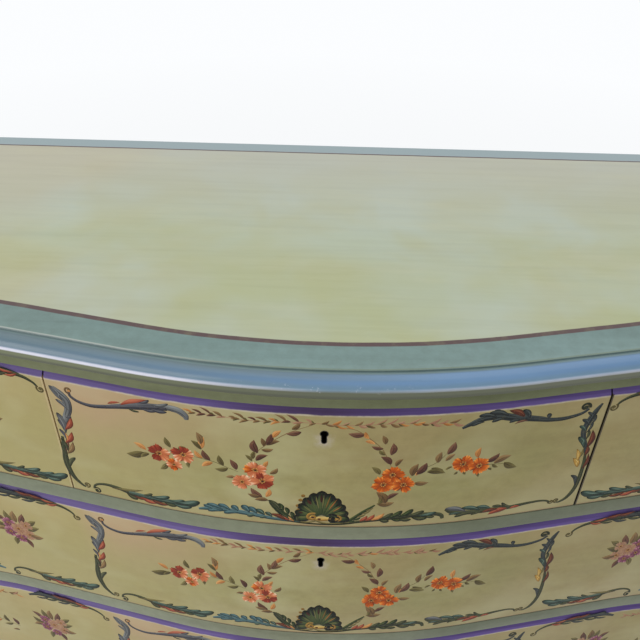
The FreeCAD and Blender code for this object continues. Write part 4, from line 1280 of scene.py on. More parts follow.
def tone(paint, value):
    """A paint between its dark, -1, its middle, 0, and its light, 1."""
    dark, middle, light = PAINTS[paint]
    if value < 0:
        return blended(middle, dark, min(-value, 1))
    return blended(middle, light, min(value, 1))


def shares_along(path):
    """How far along a path each of its points lies, from 0 to 1."""
    lengths = np.concatenate([[0], np.cumsum(np.linalg.norm(np.diff(path, axis=0), axis=1))])
    return lengths / lengths[-1]


def square_to(vector):
    """A vector turned by a quarter."""
    return np.array([-vector[1], vector[0]])


def normals(path):
    """Unit vectors square to a path at each of its points."""
    step = np.gradient(path, axis=0)
    length = np.maximum(np.linalg.norm(step, axis=1), 1e-9)[:, None]
    return np.stack([-step[:, 1], step[:, 0]], 1) / length


class Brush:
    """Strokes on one face. Motifs are drawn on squared sheets, SQUARES to the millimetre."""

    def __init__(self, at, seed):
        self.at = at
        self.random = random.Random(seed)
        self.points, self.faces, self.tints, self.flow = [], [], [], []
        self.layer = 0
        self.origin = LEFT_SHEET
        self.nudge = 0.0
        self.place()

    def place(self, sign=1, shift=0.0, tall=1.0, level=0.0):
        """How the next motifs are mirrored, shifted along, stretched and let down."""
        self.sign, self.shift, self.tall, self.level = sign, shift, tall, level

    def draw(self, *motifs):
        """Draws motifs, each on the sheet that it belongs to."""
        for motif in motifs:
            self.origin = RIGHT_SHEET if motif in RIGHT_MOTIFS else LEFT_SHEET
            self.nudge = NUDGES.get(motif, 0.0)
            motif(self)
        self.nudge = 0.0

    def on_face(self, line):
        """A line in metres on the face, from a line on the squared sheet."""
        line = np.asarray(line, float)
        u = ((line[:, 0] / SQUARES + self.origin) * SHEET_SHRINK + self.nudge) * self.sign + self.shift
        v = line[:, 1] / SQUARES - SHEET_TOP
        v = SHEET_BEVEL + (v - SHEET_BEVEL) * self.tall + self.level
        return np.stack([u, v], 1) * MM

    def ribbon(self, line, half, paint, base=0.0, gain=0.0, edge=0.0, rise=0.0):
        """A closed low ribbon of paint along a line, with a half width at each point.

        Base is its tone along the line, gain adds light on the side that faces it, and edge
        darkens both margins.
        """
        line = self.on_face(line)
        half = np.maximum(half, LEAST_HALF) / SQUARES * MM * FULLNESS
        side = normals(line) * self.sign
        start, count, width = len(self.points), len(line), len(SHARES)
        top = (PAINT_RISE + LAYER_RISE * self.layer + rise) * MM
        heights = (-SUNK, top, top * CROWN, top, -SUNK)
        rows = [
            self.at(*(line + side * (half * share)[:, None]).T, np.full(count, height))
            for share, height in zip(SHARES, heights)
        ]
        facing = side @ LIT_FROM * gain
        base = np.broadcast_to(base, count)
        for index in range(count):
            self.points += [row[index] for row in rows]
            for share in SHARES:
                value = base[index] + facing[index] * share - (edge if abs(share) == 1 else 0)
                self.tints.append(tone(paint, value))
            self.flow += [(index / count * 3 + start, share, 0) for share in SHARES]
        for first in range(start, start + (count - 1) * width, width):
            for k in range(width):
                near, far = first + k, first + (k + 1) % width
                self.faces.append((near, far, far + width, near + width))
        self.faces.append(tuple(range(start, start + width)))
        self.faces.append(tuple(reversed(range(start + (count - 1) * width, start + count * width))))

    def stroke(self, line, width, paint, shape=leaf_shape, steps=4, rise=0.0, base=0.0):
        """One stroke of a paint, with its light and its dark side."""
        path = curve_through(line, steps)
        half = width / 2 * shape(shares_along(path))
        self.ribbon(path, half, paint, base, gain=0.6, edge=0.35, rise=rise)

    def leaf(self, x0, y0, x1, y1, paint, width=None, bend=0.10):
        """A small leaf from its base to its tip, dark at its margins."""
        start, tip = np.array([x0, y0], float), np.array([x1, y1], float)
        across = square_to(tip - start)
        width = width or max(np.linalg.norm(across) * 0.40, 14)
        aside = across * bend * self.random.uniform(0.6, 1.4)
        path = curve_through([start, (start + tip) / 2 + aside, tip], 5)
        t = shares_along(path)
        base = 0.25 - 0.7 * (1 - t) + self.random.uniform(-0.3, 0.3)
        self.ribbon(path, width / 2 * leaf_shape(t), paint, base, gain=0.9, edge=0.3)
        bent = (start + tip) / 2 + aside * 0.9
        vein = curve_through([start, bent, start + (tip - start) * 0.8], 3)
        self.ribbon(vein, width * 0.07 * leaf_shape(shares_along(vein)), paint, -0.9, rise=0.02)

    def lobe(self, line, width, paint, lit=0.15):
        """A feathered tip of an acanthus leaf: slim at the stem, round and dark at its end."""
        self.layer = (self.layer + 1) % LOBE_LAYERS
        path = curve_through(line, 6)
        t = shares_along(path)
        dark = 0.9 * np.clip((t - 0.82) / 0.18, 0, 1) + 0.5 * (1 - t) ** 2
        base = lit * np.sin(math.pi * t) - dark
        shape = leaf_shape(t) if paint in POINTED else comma_shape(t)
        self.ribbon(path, width / 2 * shape, paint, base, gain=0.9, edge=0.7)
        side = normals(path)
        toward = np.sign(side @ LIT_FROM) * width * 0.17
        lit_line = (path + side * (toward * shape)[:, None])[len(path) // 5:-2]
        fade = arch(shares_along(lit_line), 0.7)
        self.ribbon(lit_line, width * 0.09 * fade, paint, 0.35 + 0.5 * fade, rise=0.02)

    def body(self, line, paint, lit=0.0, creases=1):
        """A swelling stem: each point with its own width, and a dark crease along it."""
        rows = curve_through(line, 6)
        path, width = rows[:, :2], rows[:, 2] * BODY_GROWTH + BODY_LEAST
        t = shares_along(path)
        base = lit * (0.7 + 0.4 * np.sin(8 * t + self.random.uniform(0, 6)))
        self.ribbon(path, width / 2, paint, base, gain=1.0, edge=0.7)
        side = normals(path)
        inner = slice(len(rows) // 5, len(rows) - len(rows) // 8)
        for share, value in CREASES[:creases]:
            crease = (path + side * (width * share * np.sin(math.pi * t))[:, None])[inner]
            self.ribbon(crease, width[inner] * 0.05, paint, value, rise=0.02)

    def curl(self, x, y, radius, paint, start, turns=1.2, width=8, clockwise=True):
        """A spiral end of a scroll, from its outside at an angle in degrees to its eye."""
        angles = np.linspace(0, turns * 2 * math.pi, int(18 * turns) + 6)
        way = 1 if clockwise else -1
        reach = radius * (1 - 0.72 * angles / angles[-1])
        heading = math.radians(start) + way * angles
        path = np.stack([x + reach * np.cos(heading), y + reach * np.sin(heading)], 1)
        half = width * 0.62 * (1 - 0.35 * angles / angles[-1])
        self.ribbon(path, half, paint, -0.5, gain=0.9, edge=0.4, rise=0.01)
        self.dot(x, y, radius * 0.36, paint, base=-0.2)

    def dot(self, x, y, radius, paint, rise=0.05, base=0.0):
        """A small round dab."""
        t = np.linspace(0, math.pi, 7)
        path = np.stack([x - radius * np.cos(t), np.full(7, float(y))], 1)
        self.ribbon(path, radius * np.sin(t), paint, base, gain=0.3, edge=0.15, rise=rise)

    def petal(self, heart, radius, angle, paint):
        """A petal of broad dabs with a pale rim."""
        out = np.array([math.cos(angle), math.sin(angle)])
        aside = square_to(out)
        reach = radius * self.random.uniform(0.90, 1.04)
        path = curve_through([heart, heart + out * reach * 0.5, heart + out * reach * 0.96], 4)
        t = shares_along(path)
        half = radius * 0.40 * petal_shape(t)
        self.ribbon(path, half, paint, -0.7 + 0.5 * t, gain=0.3, edge=0.4)
        for spread in DAB_SPREADS:
            sway = spread + self.random.uniform(-0.2, 0.2)
            near = heart + out * reach * 0.26 + aside * radius * 0.10 * sway
            tip_reach = reach * (1.08 - 0.13 * abs(sway) + self.random.uniform(-0.07, 0.07))
            far = heart + out * tip_reach + aside * radius * 0.30 * sway
            dab = curve_through([near, (near + far) / 2, far], 3)
            t = shares_along(dab)
            pale = self.random.choice((-0.2, 0.25, 0.7, 1.1))
            if paint == "crimson":
                pale = self.random.choice((-0.4, 0.0, 0.5))
            tones = -0.45 + (0.45 + pale) * t**1.3
            half = radius * 0.115 * comma_shape(t)
            self.ribbon(dab, half, paint, tones, gain=0.25, edge=0.12, rise=0.02)

    def flower(self, x, y, radius, paints, turn=0.0):
        """Five ruffled petals round a golden heart."""
        heart = np.array([x, y], float)
        for layer, index in enumerate((0, 2, 4, 1, 3)):
            self.layer = layer
            angle = math.radians(turn + index * 72 + self.random.uniform(-10, 10))
            self.petal(heart, radius, angle, paints[index % len(paints)])
        self.layer = 5
        self.dot(x, y, radius * 0.20, "orange", 0.05, -0.9)
        for index in range(7):
            angle = math.radians(turn + index * 51)
            place = radius * self.random.uniform(0.17, 0.28)
            seed = heart + place * np.array([math.cos(angle), math.sin(angle)])
            self.dot(*seed, radius * 0.055, "yellow", 0.07, 0.2)
        self.dot(x, y, radius * 0.11, "ink", 0.09)
        self.layer = 0

    def leaves(self, rows):
        """Many small leaves: base, tip and paint of each."""
        for index, (x0, y0, x1, y1, paint) in enumerate(rows):
            self.layer = index % 4
            self.leaf(x0, y0, x1, y1, paint, bend=0.10 if index % 2 else -0.10)
        self.layer = 0

    def lobes(self, rows, sweep=(0, 0), wide=1.3):
        """Many acanthus tips: base, tip, width and paint of each, drawn back along the stem."""
        for x0, y0, x1, y1, width, paint in rows:
            start, tip = np.array([x0 + sweep[0], y0 + sweep[1]], float), np.array([x1, y1], float)
            across = square_to(tip - start)
            bend = 0.10 if (tip - start)[0] * across[1] >= 0 else -0.10
            self.lobe([start, (start + tip) / 2 + across * bend, tip], width * wide, paint)
        self.layer = 0

    def piece(self, name, body, slot):
        """Gathers all strokes in one piece on a body."""
        mesh = mesh_from(name, self.points, self.faces)
        layer = mesh.attributes.new("paint", "FLOAT_COLOR", "POINT")
        colours = np.array([linear(*tint) for tint in self.tints], np.float32)
        layer.data.foreach_set("color", colours.ravel())
        set_vectors(mesh, "flow", self.flow)
        smooth(mesh, angle=180)
        new_piece(name, mesh, body, ORNAMENT_PAINT)


# The motifs, each drawn from its squared sheet: stems, tips along them, curls and flowers.

def top_scroll_left(brush):
    """The scroll from the upper left corner along the top edge."""
    brush.body([
        (290, 140, 9), (294, 168, 13), (332, 195, 15), (400, 206, 18), (480, 192, 20),
    ], "navy", 0.05, 1)
    brush.body([
        (470, 195, 18), (560, 170, 28), (640, 150, 38), (720, 136, 38), (800, 126, 30),
    ], "navy", 0.25, 2)
    brush.lobes([
        (620, 165, 655, 184, 12, "sea"), (690, 150, 750, 158, 16, "navy"),
        (740, 140, 800, 154, 18, "navy"), (690, 118, 716, 94, 16, "navy"),
        (750, 118, 812, 98, 18, "slate"),
    ], sweep=(-30, 4), wide=1.15)
    brush.body([
        (740, 128, 24), (800, 122, 30), (856, 130, 34), (888, 156, 30), (894, 184, 14),
    ], "slate", 0.5, 2)
    brush.lobe([(560, 160), (620, 124), (706, 96)], 26, "red", 0.8)
    brush.lobe([(492, 168), (520, 154), (560, 144)], 14, "red", 0.3)
    brush.curl(290, 131, 22, "brown", 90, 1.1, 9)
    brush.dot(292, 134, 8, "orange", 0.08)


def hanging_scroll(brush):
    """The scroll at the inner end of a side panel: its thin end hangs and curls below."""
    brush.body([
        (324, 196, 9), (344, 172, 12), (390, 148, 17), (450, 136, 22), (540, 130, 30), (640, 130, 36),
    ], "sea", 0.00, 1)
    brush.body([(610, 132, 34), (720, 126, 34), (800, 132, 26), (866, 156, 14)], "steel", 0.00, 2)
    brush.lobes([
        (470, 136, 536, 112, 20, "red"), (540, 122, 616, 100, 26, "wine"),
        (610, 118, 690, 96, 24, "wine"), (500, 140, 566, 158, 16, "sea"),
        (580, 140, 656, 162, 18, "steel"), (670, 138, 744, 160, 18, "sea"),
        (740, 138, 812, 162, 16, "steel"), (700, 112, 800, 102, 20, "steel"),
        (450, 140, 500, 156, 14, "red"),
    ], sweep=(-30, -4), wide=1.1)
    brush.curl(309, 210, 23, "olive", -60, 1.2, 9)


def vertical_left(brush):
    """Two sprays of leaves down the left edge, ending in a curl."""
    brush.body([
        (210, 380, 20), (238, 320, 30), (262, 262, 34), (262, 205, 40), (232, 168, 48),
        (198, 130, 26),
    ], "slate", 0.35, 3)
    brush.lobes([
        (240, 190, 186, 122, 30, "slate"), (262, 250, 204, 208, 22, "slate"),
        (232, 300, 268, 312, 16, "navy"), (210, 420, 190, 300, 34, "slate"),
        (205, 400, 184, 350, 18, "navy"), (214, 392, 266, 316, 26, "red"),
        (206, 470, 178, 418, 18, "navy"), (196, 492, 248, 424, 27, "red"),
        (208, 476, 206, 440, 12, "orange"), (196, 560, 172, 488, 18, "sea"),
        (188, 574, 238, 498, 24, "brown"), (180, 560, 204, 470, 16, "plum"),
    ], sweep=(0, 22), wide=1.05)
    brush.body([
        (184, 470, 12), (176, 560, 20), (168, 640, 30), (170, 710, 28), (190, 780, 22),
        (228, 828, 13), (248, 838, 8),
    ], "sea", 0.10, 2)
    brush.lobe([(182, 700), (196, 652), (228, 618)], 26, "sea", 0.4)
    brush.curl(256, 820, 20, "olive", 100, 1.2, 8, False)


def bottom_left(brush):
    """Leaves along the bottom edge, from the left corner inwards."""
    brush.body([
        (292, 838, 7), (300, 812, 9), (330, 792, 12), (380, 784, 16), (440, 792, 20), (510, 812, 22),
        (570, 830, 14),
    ], "sea", 0.10, 2)
    brush.lobe([(400, 800), (500, 792), (588, 768)], 22, "olive")
    brush.body([
        (500, 806, 22), (580, 814, 28), (680, 814, 28), (780, 810, 28), (860, 798, 16),
    ], "teal", 0.20, 3)
    brush.lobes([
        (520, 815, 548, 850, 22, "sea"), (620, 800, 640, 778, 16, "sea"),
        (660, 800, 738, 774, 26, "teal"), (600, 822, 664, 850, 20, "red"),
        (560, 820, 600, 838, 14, "wine"), (660, 825, 730, 842, 18, "wine"),
        (730, 820, 770, 840, 18, "sea"), (760, 800, 820, 782, 20, "teal"),
        (780, 822, 856, 828, 20, "teal"), (800, 806, 904, 772, 34, "teal"),
    ], sweep=(-34, 2))
    brush.curl(309, 848, 23, "sea", 210, 1.2, 9)


def second_run_left(brush):
    """The next run of leaves, to the foot of the shell."""
    brush.body([
        (898, 826, 10), (950, 812, 24), (1030, 804, 28), (1110, 806, 30), (1200, 816, 26),
        (1280, 830, 20), (1380, 842, 12), (1440, 846, 7),
    ], "sky", 0.40, 3)
    brush.lobes([
        (930, 812, 926, 790, 18, "sky"), (970, 800, 944, 778, 20, "sky"),
        (1010, 796, 1006, 768, 20, "sky"), (1050, 796, 1078, 764, 22, "sky"),
        (1110, 796, 1132, 752, 24, "sky"), (1150, 800, 1166, 760, 22, "sky"),
        (1190, 806, 1206, 772, 20, "teal"), (1230, 815, 1256, 788, 16, "teal"),
        (960, 815, 948, 832, 14, "sky"), (1050, 812, 1034, 832, 16, "sky"),
        (1140, 816, 1160, 834, 16, "teal"), (1200, 822, 1226, 836, 12, "teal"),
        (1300, 832, 1282, 796, 16, "wine"), (1320, 836, 1300, 800, 20, "red"),
        (1345, 838, 1334, 806, 14, "orange"),
    ], sweep=(62, 6), wide=1.6)
    brush.body([
        (1282, 706, 8), (1310, 740, 26), (1350, 790, 30), (1400, 830, 18), (1440, 846, 8),
    ], "green", 0.05, 2)
    brush.lobes([
        (1320, 760, 1284, 716, 16, "sea"), (1330, 750, 1328, 708, 16, "green"),
        (1352, 780, 1364, 736, 16, "green"), (1376, 806, 1392, 768, 16, "green"),
        (1398, 826, 1420, 798, 14, "sea"), (1360, 815, 1340, 796, 14, "sea"),
        (1316, 752, 1276, 690, 20, "sea"),
    ], sweep=(22, 16), wide=1.4)
    brush.body([(1400, 846, 9), (1460, 848, 9), (1510, 836, 7), (1536, 812, 5)], "olive", 0.25, 1)


def top_scroll_right(brush):
    """The scroll from the upper right corner along the top edge."""
    brush.body([
        (1336, 146, 10), (1300, 174, 15), (1220, 192, 20), (1140, 188, 22), (1080, 172, 30),
        (1010, 156, 34),
    ], "steel", 0.10, 2)
    brush.body([
        (1030, 160, 28), (960, 146, 38), (880, 124, 38), (800, 128, 30), (740, 156, 22),
        (700, 180, 10),
    ], "steel", 0.20, 3)
    brush.lobes([
        (980, 142, 916, 92, 26, "wine"), (1010, 156, 988, 98, 24, "steel"),
        (900, 122, 818, 96, 26, "steel"), (840, 124, 770, 108, 22, "steel"),
        (1110, 176, 1124, 144, 18, "steel"), (960, 158, 930, 172, 14, "steel"),
        (880, 138, 840, 156, 16, "steel"), (1000, 168, 960, 186, 10, "plum"),
        (780, 146, 744, 170, 14, "steel"),
    ], sweep=(24, 4))
    brush.curl(1314, 132, 25, "sea", 20, 1.2, 13, False)


def vertical_right(brush):
    """The sprays of leaves down the right edge."""
    brush.body([
        (1404, 122, 8), (1382, 168, 24), (1362, 230, 30), (1350, 290, 26), (1362, 350, 22),
        (1392, 420, 18), (1404, 470, 12),
    ], "steel", 0.20, 3)
    brush.lobes([
        (1376, 200, 1340, 168, 14, "steel"), (1368, 240, 1322, 214, 18, "steel"),
        (1360, 280, 1318, 258, 16, "teal"), (1372, 240, 1392, 196, 12, "steel"),
        (1366, 290, 1384, 236, 12, "steel"), (1398, 400, 1400, 300, 22, "wine"),
        (1376, 340, 1378, 296, 12, "sea"), (1380, 400, 1332, 336, 22, "teal"),
        (1402, 460, 1398, 408, 16, "wine"), (1366, 500, 1346, 424, 16, "yellow"),
        (1380, 540, 1340, 490, 20, "yellow"), (1412, 560, 1420, 470, 14, "wine"),
        (1372, 470, 1380, 428, 10, "olive"),
    ], sweep=(2, 24))
    brush.body([
        (1400, 460, 9), (1412, 550, 16), (1414, 660, 20), (1404, 740, 20), (1376, 800, 18),
        (1342, 826, 11), (1324, 828, 7),
    ], "sea", 0.10, 2)
    brush.lobe([(1406, 716), (1392, 650), (1360, 622)], 24, "steel")
    brush.curl(1320, 812, 17, "olive", 80, 1.2, 8)


def bottom_right(brush):
    """Leaves along the bottom edge, from the right corner inwards."""
    brush.body([
        (1290, 824, 7), (1276, 806, 9), (1230, 796, 11), (1150, 800, 16), (1090, 808, 20),
        (1040, 810, 16),
    ], "sea", 0.10, 2)
    brush.lobe([(1090, 812), (1040, 798), (1012, 764)], 22, "sea")
    brush.body([
        (1080, 812, 20), (1000, 810, 26), (900, 808, 28), (800, 806, 28), (740, 792, 22),
        (704, 766, 10),
    ], "sea", 0.25, 3)
    brush.lobes([
        (920, 800, 868, 774, 22, "teal"), (860, 800, 790, 768, 24, "teal"),
        (780, 796, 700, 762, 26, "slate"), (800, 818, 760, 834, 18, "sea"),
        (760, 806, 726, 812, 12, "teal"), (1010, 816, 946, 846, 28, "red"),
        (960, 812, 900, 826, 20, "wine"), (1080, 812, 1062, 822, 14, "red"),
        (880, 818, 850, 832, 12, "sea"), (990, 804, 960, 782, 14, "sea"),
    ], sweep=(40, 2))
    brush.curl(1299, 816, 17, "olive", 200, 1.2, 8, False)


def second_run_right(brush):
    """The run of leaves from the shell's foot to the right."""
    brush.body([
        (90, 842, 9), (180, 842, 14), (280, 826, 18), (370, 812, 24), (460, 800, 26), (550, 792, 26),
        (630, 792, 24), (672, 806, 20), (684, 836, 12),
    ], "sea", 0.20, 3)
    brush.lobes([
        (300, 822, 284, 786, 16, "red"), (330, 818, 322, 776, 16, "red"),
        (360, 812, 372, 768, 16, "orange"), (400, 806, 416, 768, 18, "sea"),
        (440, 800, 464, 752, 20, "green"), (500, 792, 520, 744, 20, "green"),
        (540, 788, 580, 762, 20, "sea"), (600, 788, 646, 780, 18, "teal"),
        (400, 810, 400, 832, 16, "sea"), (460, 806, 470, 828, 12, "green"),
        (500, 806, 516, 826, 16, "sea"), (570, 800, 600, 822, 18, "sea"),
        (640, 796, 640, 816, 12, "sea"),
    ], sweep=(-54, 8), wide=1.6)
    brush.body([(176, 838, 10), (220, 796, 16), (270, 746, 14), (318, 702, 6)], "green", 0.25, 1)
    brush.lobes([
        (220, 804, 250, 800, 12, "green"), (246, 778, 276, 772, 12, "olive"),
        (270, 752, 300, 744, 10, "olive"), (200, 816, 220, 826, 12, "green"),
        (290, 730, 312, 722, 8, "olive"),
    ], sweep=(-16, 14), wide=1.3)
    brush.body([(12, 826, 6), (50, 846, 8), (110, 850, 9), (200, 836, 8)], "olive", 0.25, 1)


# The shell's accents: rib, paint, tone, half width, how far aside, and where it starts and ends.
SHELL_ACCENTS = [
    (1, "wine", -0.6, 9, 0, 0.62, 0.86), (3, "wine", -0.6, 10, 4, 0.60, 0.88),
    (4, "ink", 0.3, 8, -8, 0.45, 0.86), (5, "wine", -0.8, 8, -4, 0.50, 0.84),
    (5, "olive", 0.3, 3, 12, 0.30, 0.84), (6, "yellow", -0.8, 4, 2, 0.34, 0.90),
    (7, "orange", -0.9, 4, -6, 0.34, 0.94), (8, "orange", -0.8, 4, -6, 0.40, 0.86),
    (9, "olive", 0.4, 3, -6, 0.40, 0.84), (2, "olive", 0.2, 3, 6, 0.30, 0.80),
    (0, "olive", 0.0, 3, 4, 0.40, 0.80), (4, "olive", 0.4, 3, 10, 0.30, 0.86),
]


SHELL_PLACE = (43.0, 790.0)
SHELL_RIBS = 11
# Half the fan's spread in degrees, how far a rib reaches aside and up, and how much less far
# the outermost ones reach.
RIB_SPREAD = 98
RIB_ASIDE = 118
RIB_UP = 190
RIB_LESS = 26
MIDDLE_RIB = (SHELL_RIBS - 1) / 2


def shell_rib(brush, index):
    """One rib of the scallop, from its hub to its rounded end, and its accents."""
    x, y = SHELL_PLACE
    share = (index - MIDDLE_RIB) / MIDDLE_RIB
    angle = math.radians(-90 + share * RIB_SPREAD)
    reach = RIB_UP - RIB_LESS * abs(share)
    out = np.array([math.cos(angle) * RIB_ASIDE, math.sin(angle) * reach])
    hub = np.array([x + share * 30, y - 6 + 14 * abs(share)])
    aside = square_to(out) / np.linalg.norm(out)
    brush.layer = 7 - int(abs(share) * 5)
    path = curve_through([hub, hub + out * 0.5, hub + out], 7)
    t = shares_along(path)
    brush.ribbon(path, 31 * petal_shape(t), "ink", gain=0.3, edge=0.3)
    inner = curve_through([hub, hub + out * 0.5, hub + out * 0.94], 7) - aside * 4 * t[:, None]
    tones = 0.15 + 0.45 * np.sin(math.pi * t) - np.clip((t - 0.7) / 0.3, 0, 1)
    brush.ribbon(inner, 20 * petal_shape(t), "green", tones, gain=0.8, edge=0.5, rise=0.02)
    for rib, paint, value, wide, offset, near, far in SHELL_ACCENTS:
        if rib == index:
            shares = (near, (near + far) / 2, far)
            accent = curve_through([hub + (out + aside * offset) * k for k in shares], 3)
            half = wide * leaf_shape(shares_along(accent))
            brush.ribbon(accent, half, paint, value, gain=0.4, edge=0.2, rise=0.05)


def shell(brush):
    """A scallop of dark green ribs over two gilt volutes."""
    x, y = SHELL_PLACE
    brush.layer = 1
    for aside, drop in ((-110, -116), (-124, -72), (-96, -150), (-120, -40)):
        brush.dot(x + aside, y + drop, 11, "yellow", 0.0, -0.7)
    for index in sorted(range(SHELL_RIBS), key=lambda k: -abs(k - MIDDLE_RIB)):
        shell_rib(brush, index)
    brush.layer = 9
    brush.body([
        (x - 62, y + 10, 14), (x - 20, y + 24, 26), (x + 22, y + 24, 26), (x + 60, y + 16, 14),
    ], "yellow", 0.3, 1)
    brush.dot(x - 12, y + 26, 9, "wine", 0.05, -0.3)
    brush.curl(x - 48, y + 12, 30, "yellow", -60, 1.2, 16, False)
    brush.dot(x - 46, y + 14, 9, "wine", 0.12, -0.6)
    brush.curl(x + 58, y + 22, 36, "ink", -130, 1.3, 15)
    brush.curl(x + 82, y + 22, 24, "yellow", -100, 0.9, 12)
    brush.dot(x + 54, y + 24, 6, "slate", 0.00, 1)
    brush.layer = 10
    brush.stroke([
        (x - 190, y + 52), (x - 90, y + 64), (x + 10, y + 68), (x + 110, y + 64), (x + 190, y + 50),
    ], 10, "sea", stem_shape, 5, 0.0, -0.9)
    brush.layer = 0


def outer_bloom_left(brush):
    """The outer bunch of flowers on the left."""
    brush.stroke([(905, 430), (1000, 445), (1060, 470), (1130, 500)], 4, "olive", stem_shape)
    brush.leaves([
        (790, 392, 768, 324, "olive"), (655, 442, 594, 404, "orange"), (640, 465, 540, 498, "olive"),
        (668, 466, 618, 506, "olive"), (760, 512, 716, 566, "olive"), (880, 472, 874, 520, "olive"),
        (952, 432, 915, 384, "orange"), (950, 335, 936, 256, "brown"), (956, 362, 970, 284, "orange"),
        (950, 372, 904, 318, "olive"), (990, 442, 956, 374, "plum"), (1002, 455, 944, 492, "orange"),
        (1056, 466, 1036, 396, "olive"), (1120, 486, 1092, 416, "plum"),
        (1078, 482, 1010, 496, "olive"), (1112, 542, 1062, 548, "brown"),
        (830, 395, 870, 372, "olive"),
    ])
    brush.flower(796, 512, 44, ["salmon", "flame"], 20)
    brush.flower(725, 448, 60, ["crimson", "crimson", "salmon", "salmon", "crimson"], 196)
    brush.flower(852, 430, 62, ["salmon", "salmon", "crimson", "crimson", "salmon"], 60)


def inner_wreath_left(brush):
    """The wreath of leaves and flowers left of the shell."""
    brush.stroke([
        (1500, 140), (1400, 190), (1320, 250), (1240, 330), (1200, 405),
    ], 4, "brown", stem_shape, 5)
    brush.leaves([
        (1445, 190, 1370, 206, "plum"), (1400, 176, 1440, 132, "brown"),
        (1310, 238, 1350, 188, "orange"), (1278, 288, 1302, 214, "plum"),
        (1276, 292, 1342, 260, "brown"), (1264, 302, 1254, 246, "brown"),
        (1232, 352, 1218, 264, "plum"), (1252, 326, 1310, 316, "brown"),
        (1222, 406, 1282, 362, "plum"), (1202, 412, 1170, 372, "olive"),
        (1262, 450, 1282, 402, "orange"), (1288, 492, 1328, 448, "brown"),
        (1245, 672, 1188, 608, "plum"), (1264, 667, 1284, 604, "orange"),
        (1238, 666, 1170, 656, "brown"), (1275, 692, 1204, 696, "brown"),
        (1208, 395, 1216, 340, "olive"),
    ])
    brush.flower(1145, 570, 54, ["salmon"], 10)
    brush.flower(1216, 474, 62, ["salmon", "salmon", "flame"], 40)
    brush.flower(1250, 550, 64, ["crimson", "salmon", "crimson", "salmon", "crimson"], 100)


def inner_wreath_right(brush):
    """The wreath of leaves and flowers right of the shell."""
    brush.stroke([
        (120, 150), (200, 170), (270, 230), (330, 300), (380, 420),
    ], 4, "brown", stem_shape, 5)
    brush.stroke([(480, 460), (560, 430), (610, 395), (645, 345)], 4, "olive", stem_shape)
    brush.leaves([
        (242, 196, 160, 190, "plum"), (240, 180, 262, 226, "orange"), (244, 240, 290, 262, "orange"),
        (340, 262, 324, 204, "brown"), (332, 292, 275, 274, "plum"), (372, 336, 378, 256, "plum"),
        (345, 336, 312, 300, "olive"), (376, 402, 324, 346, "plum"), (402, 416, 434, 366, "brown"),
        (326, 472, 284, 418, "olive"), (488, 490, 512, 404, "brown"), (508, 480, 554, 400, "plum"),
        (505, 488, 536, 450, "orange"), (502, 541, 576, 544, "brown"), (562, 466, 654, 482, "olive"),
        (368, 690, 318, 602, "brown"), (376, 658, 432, 614, "plum"), (326, 690, 414, 684, "brown"),
        (608, 405, 620, 330, "brown"), (650, 350, 680, 268, "plum"), (646, 396, 690, 350, "brown"),
        (580, 440, 640, 456, "olive"), (350, 620, 330, 700, "olive"),
    ])
    brush.flower(348, 548, 60, ["flame"], 24)
    brush.flower(450, 552, 58, ["flame"], 70)
    brush.flower(390, 476, 60, ["flame"], 0)


def outer_bloom_right(brush):
    """The outer bunch of flowers on the right."""
    brush.stroke([(660, 450), (760, 440), (880, 450), (990, 460)], 4, "olive", stem_shape)
    brush.leaves([
        (816, 392, 822, 322, "orange"), (864, 430, 926, 378, "plum"), (906, 446, 992, 404, "brown"),
        (962, 450, 1036, 496, "olive"), (880, 478, 900, 496, "olive"), (900, 452, 934, 478, "olive"),
        (722, 480, 706, 500, "olive"), (756, 482, 768, 508, "olive"), (820, 500, 838, 536, "olive"),
        (690, 440, 660, 462, "olive"),
    ])
    brush.flower(832, 452, 60, ["flame"], 30)
    brush.flower(746, 428, 58, ["flame"], 0)


def garland(brush, low=-136.0, high=134.0):
    """Leaves in pairs along the top of a panel, between two points in millimetres."""
    paints = ["brown", "rose", "brown", "orange", "brown", "rose", "plum"]
    faded = ["rose", "rose", "orange", "rose", "brown"]

    def stem(u):
        return (u - LEFT_SHEET) * SQUARES, 133 + 5 * math.sin(u / 16)

    brush.stroke([stem(u) for u in np.linspace(low, high, 14)], 4, "rose", stem_shape, 3)
    for index, place in enumerate(np.linspace(low, high, int((high - low) / 10.5))):
        u = place + brush.random.uniform(-2.5, 2.5)
        x, y = stem(u)
        way = 1 if u < -5 else -1
        for side in (-1, 1):
            paint = brush.random.choice(faded if u > brush.random.uniform(-60, 30) else paints)
            length = brush.random.uniform(34, 60)
            spread = brush.random.uniform(0.30, 0.80) if side < 0 else brush.random.uniform(0.05, 0.50)
            brush.layer = (index + side) % 4
            width = brush.random.uniform(12, 17)
            start = x + side * 9
            brush.leaf(start, y, start - way * length, y + side * length * spread, paint, width)
            if (index + side) % 3 == 0:
                small = brush.random.uniform(22, 30)
                brush.leaf(x, y, x - way * small, y - side * small * 0.6, "olive", 10)
    brush.layer = 0


LEFT_MOTIFS = (
    top_scroll_left, vertical_left, bottom_left, second_run_left, outer_bloom_left,
    inner_wreath_left,
)
RIGHT_MOTIFS = (
    top_scroll_right, vertical_right, bottom_right, second_run_right, shell, outer_bloom_right,
    inner_wreath_right,
)
# How far a motif goes along from its place on its sheet, in millimetres.
NUDGES = {
    vertical_right: -1.5, bottom_right: -3.5, top_scroll_right: -0.5, outer_bloom_right: -2.0,
    inner_wreath_right: -0.5, second_run_right: -1.0, bottom_left: 1.0,
}


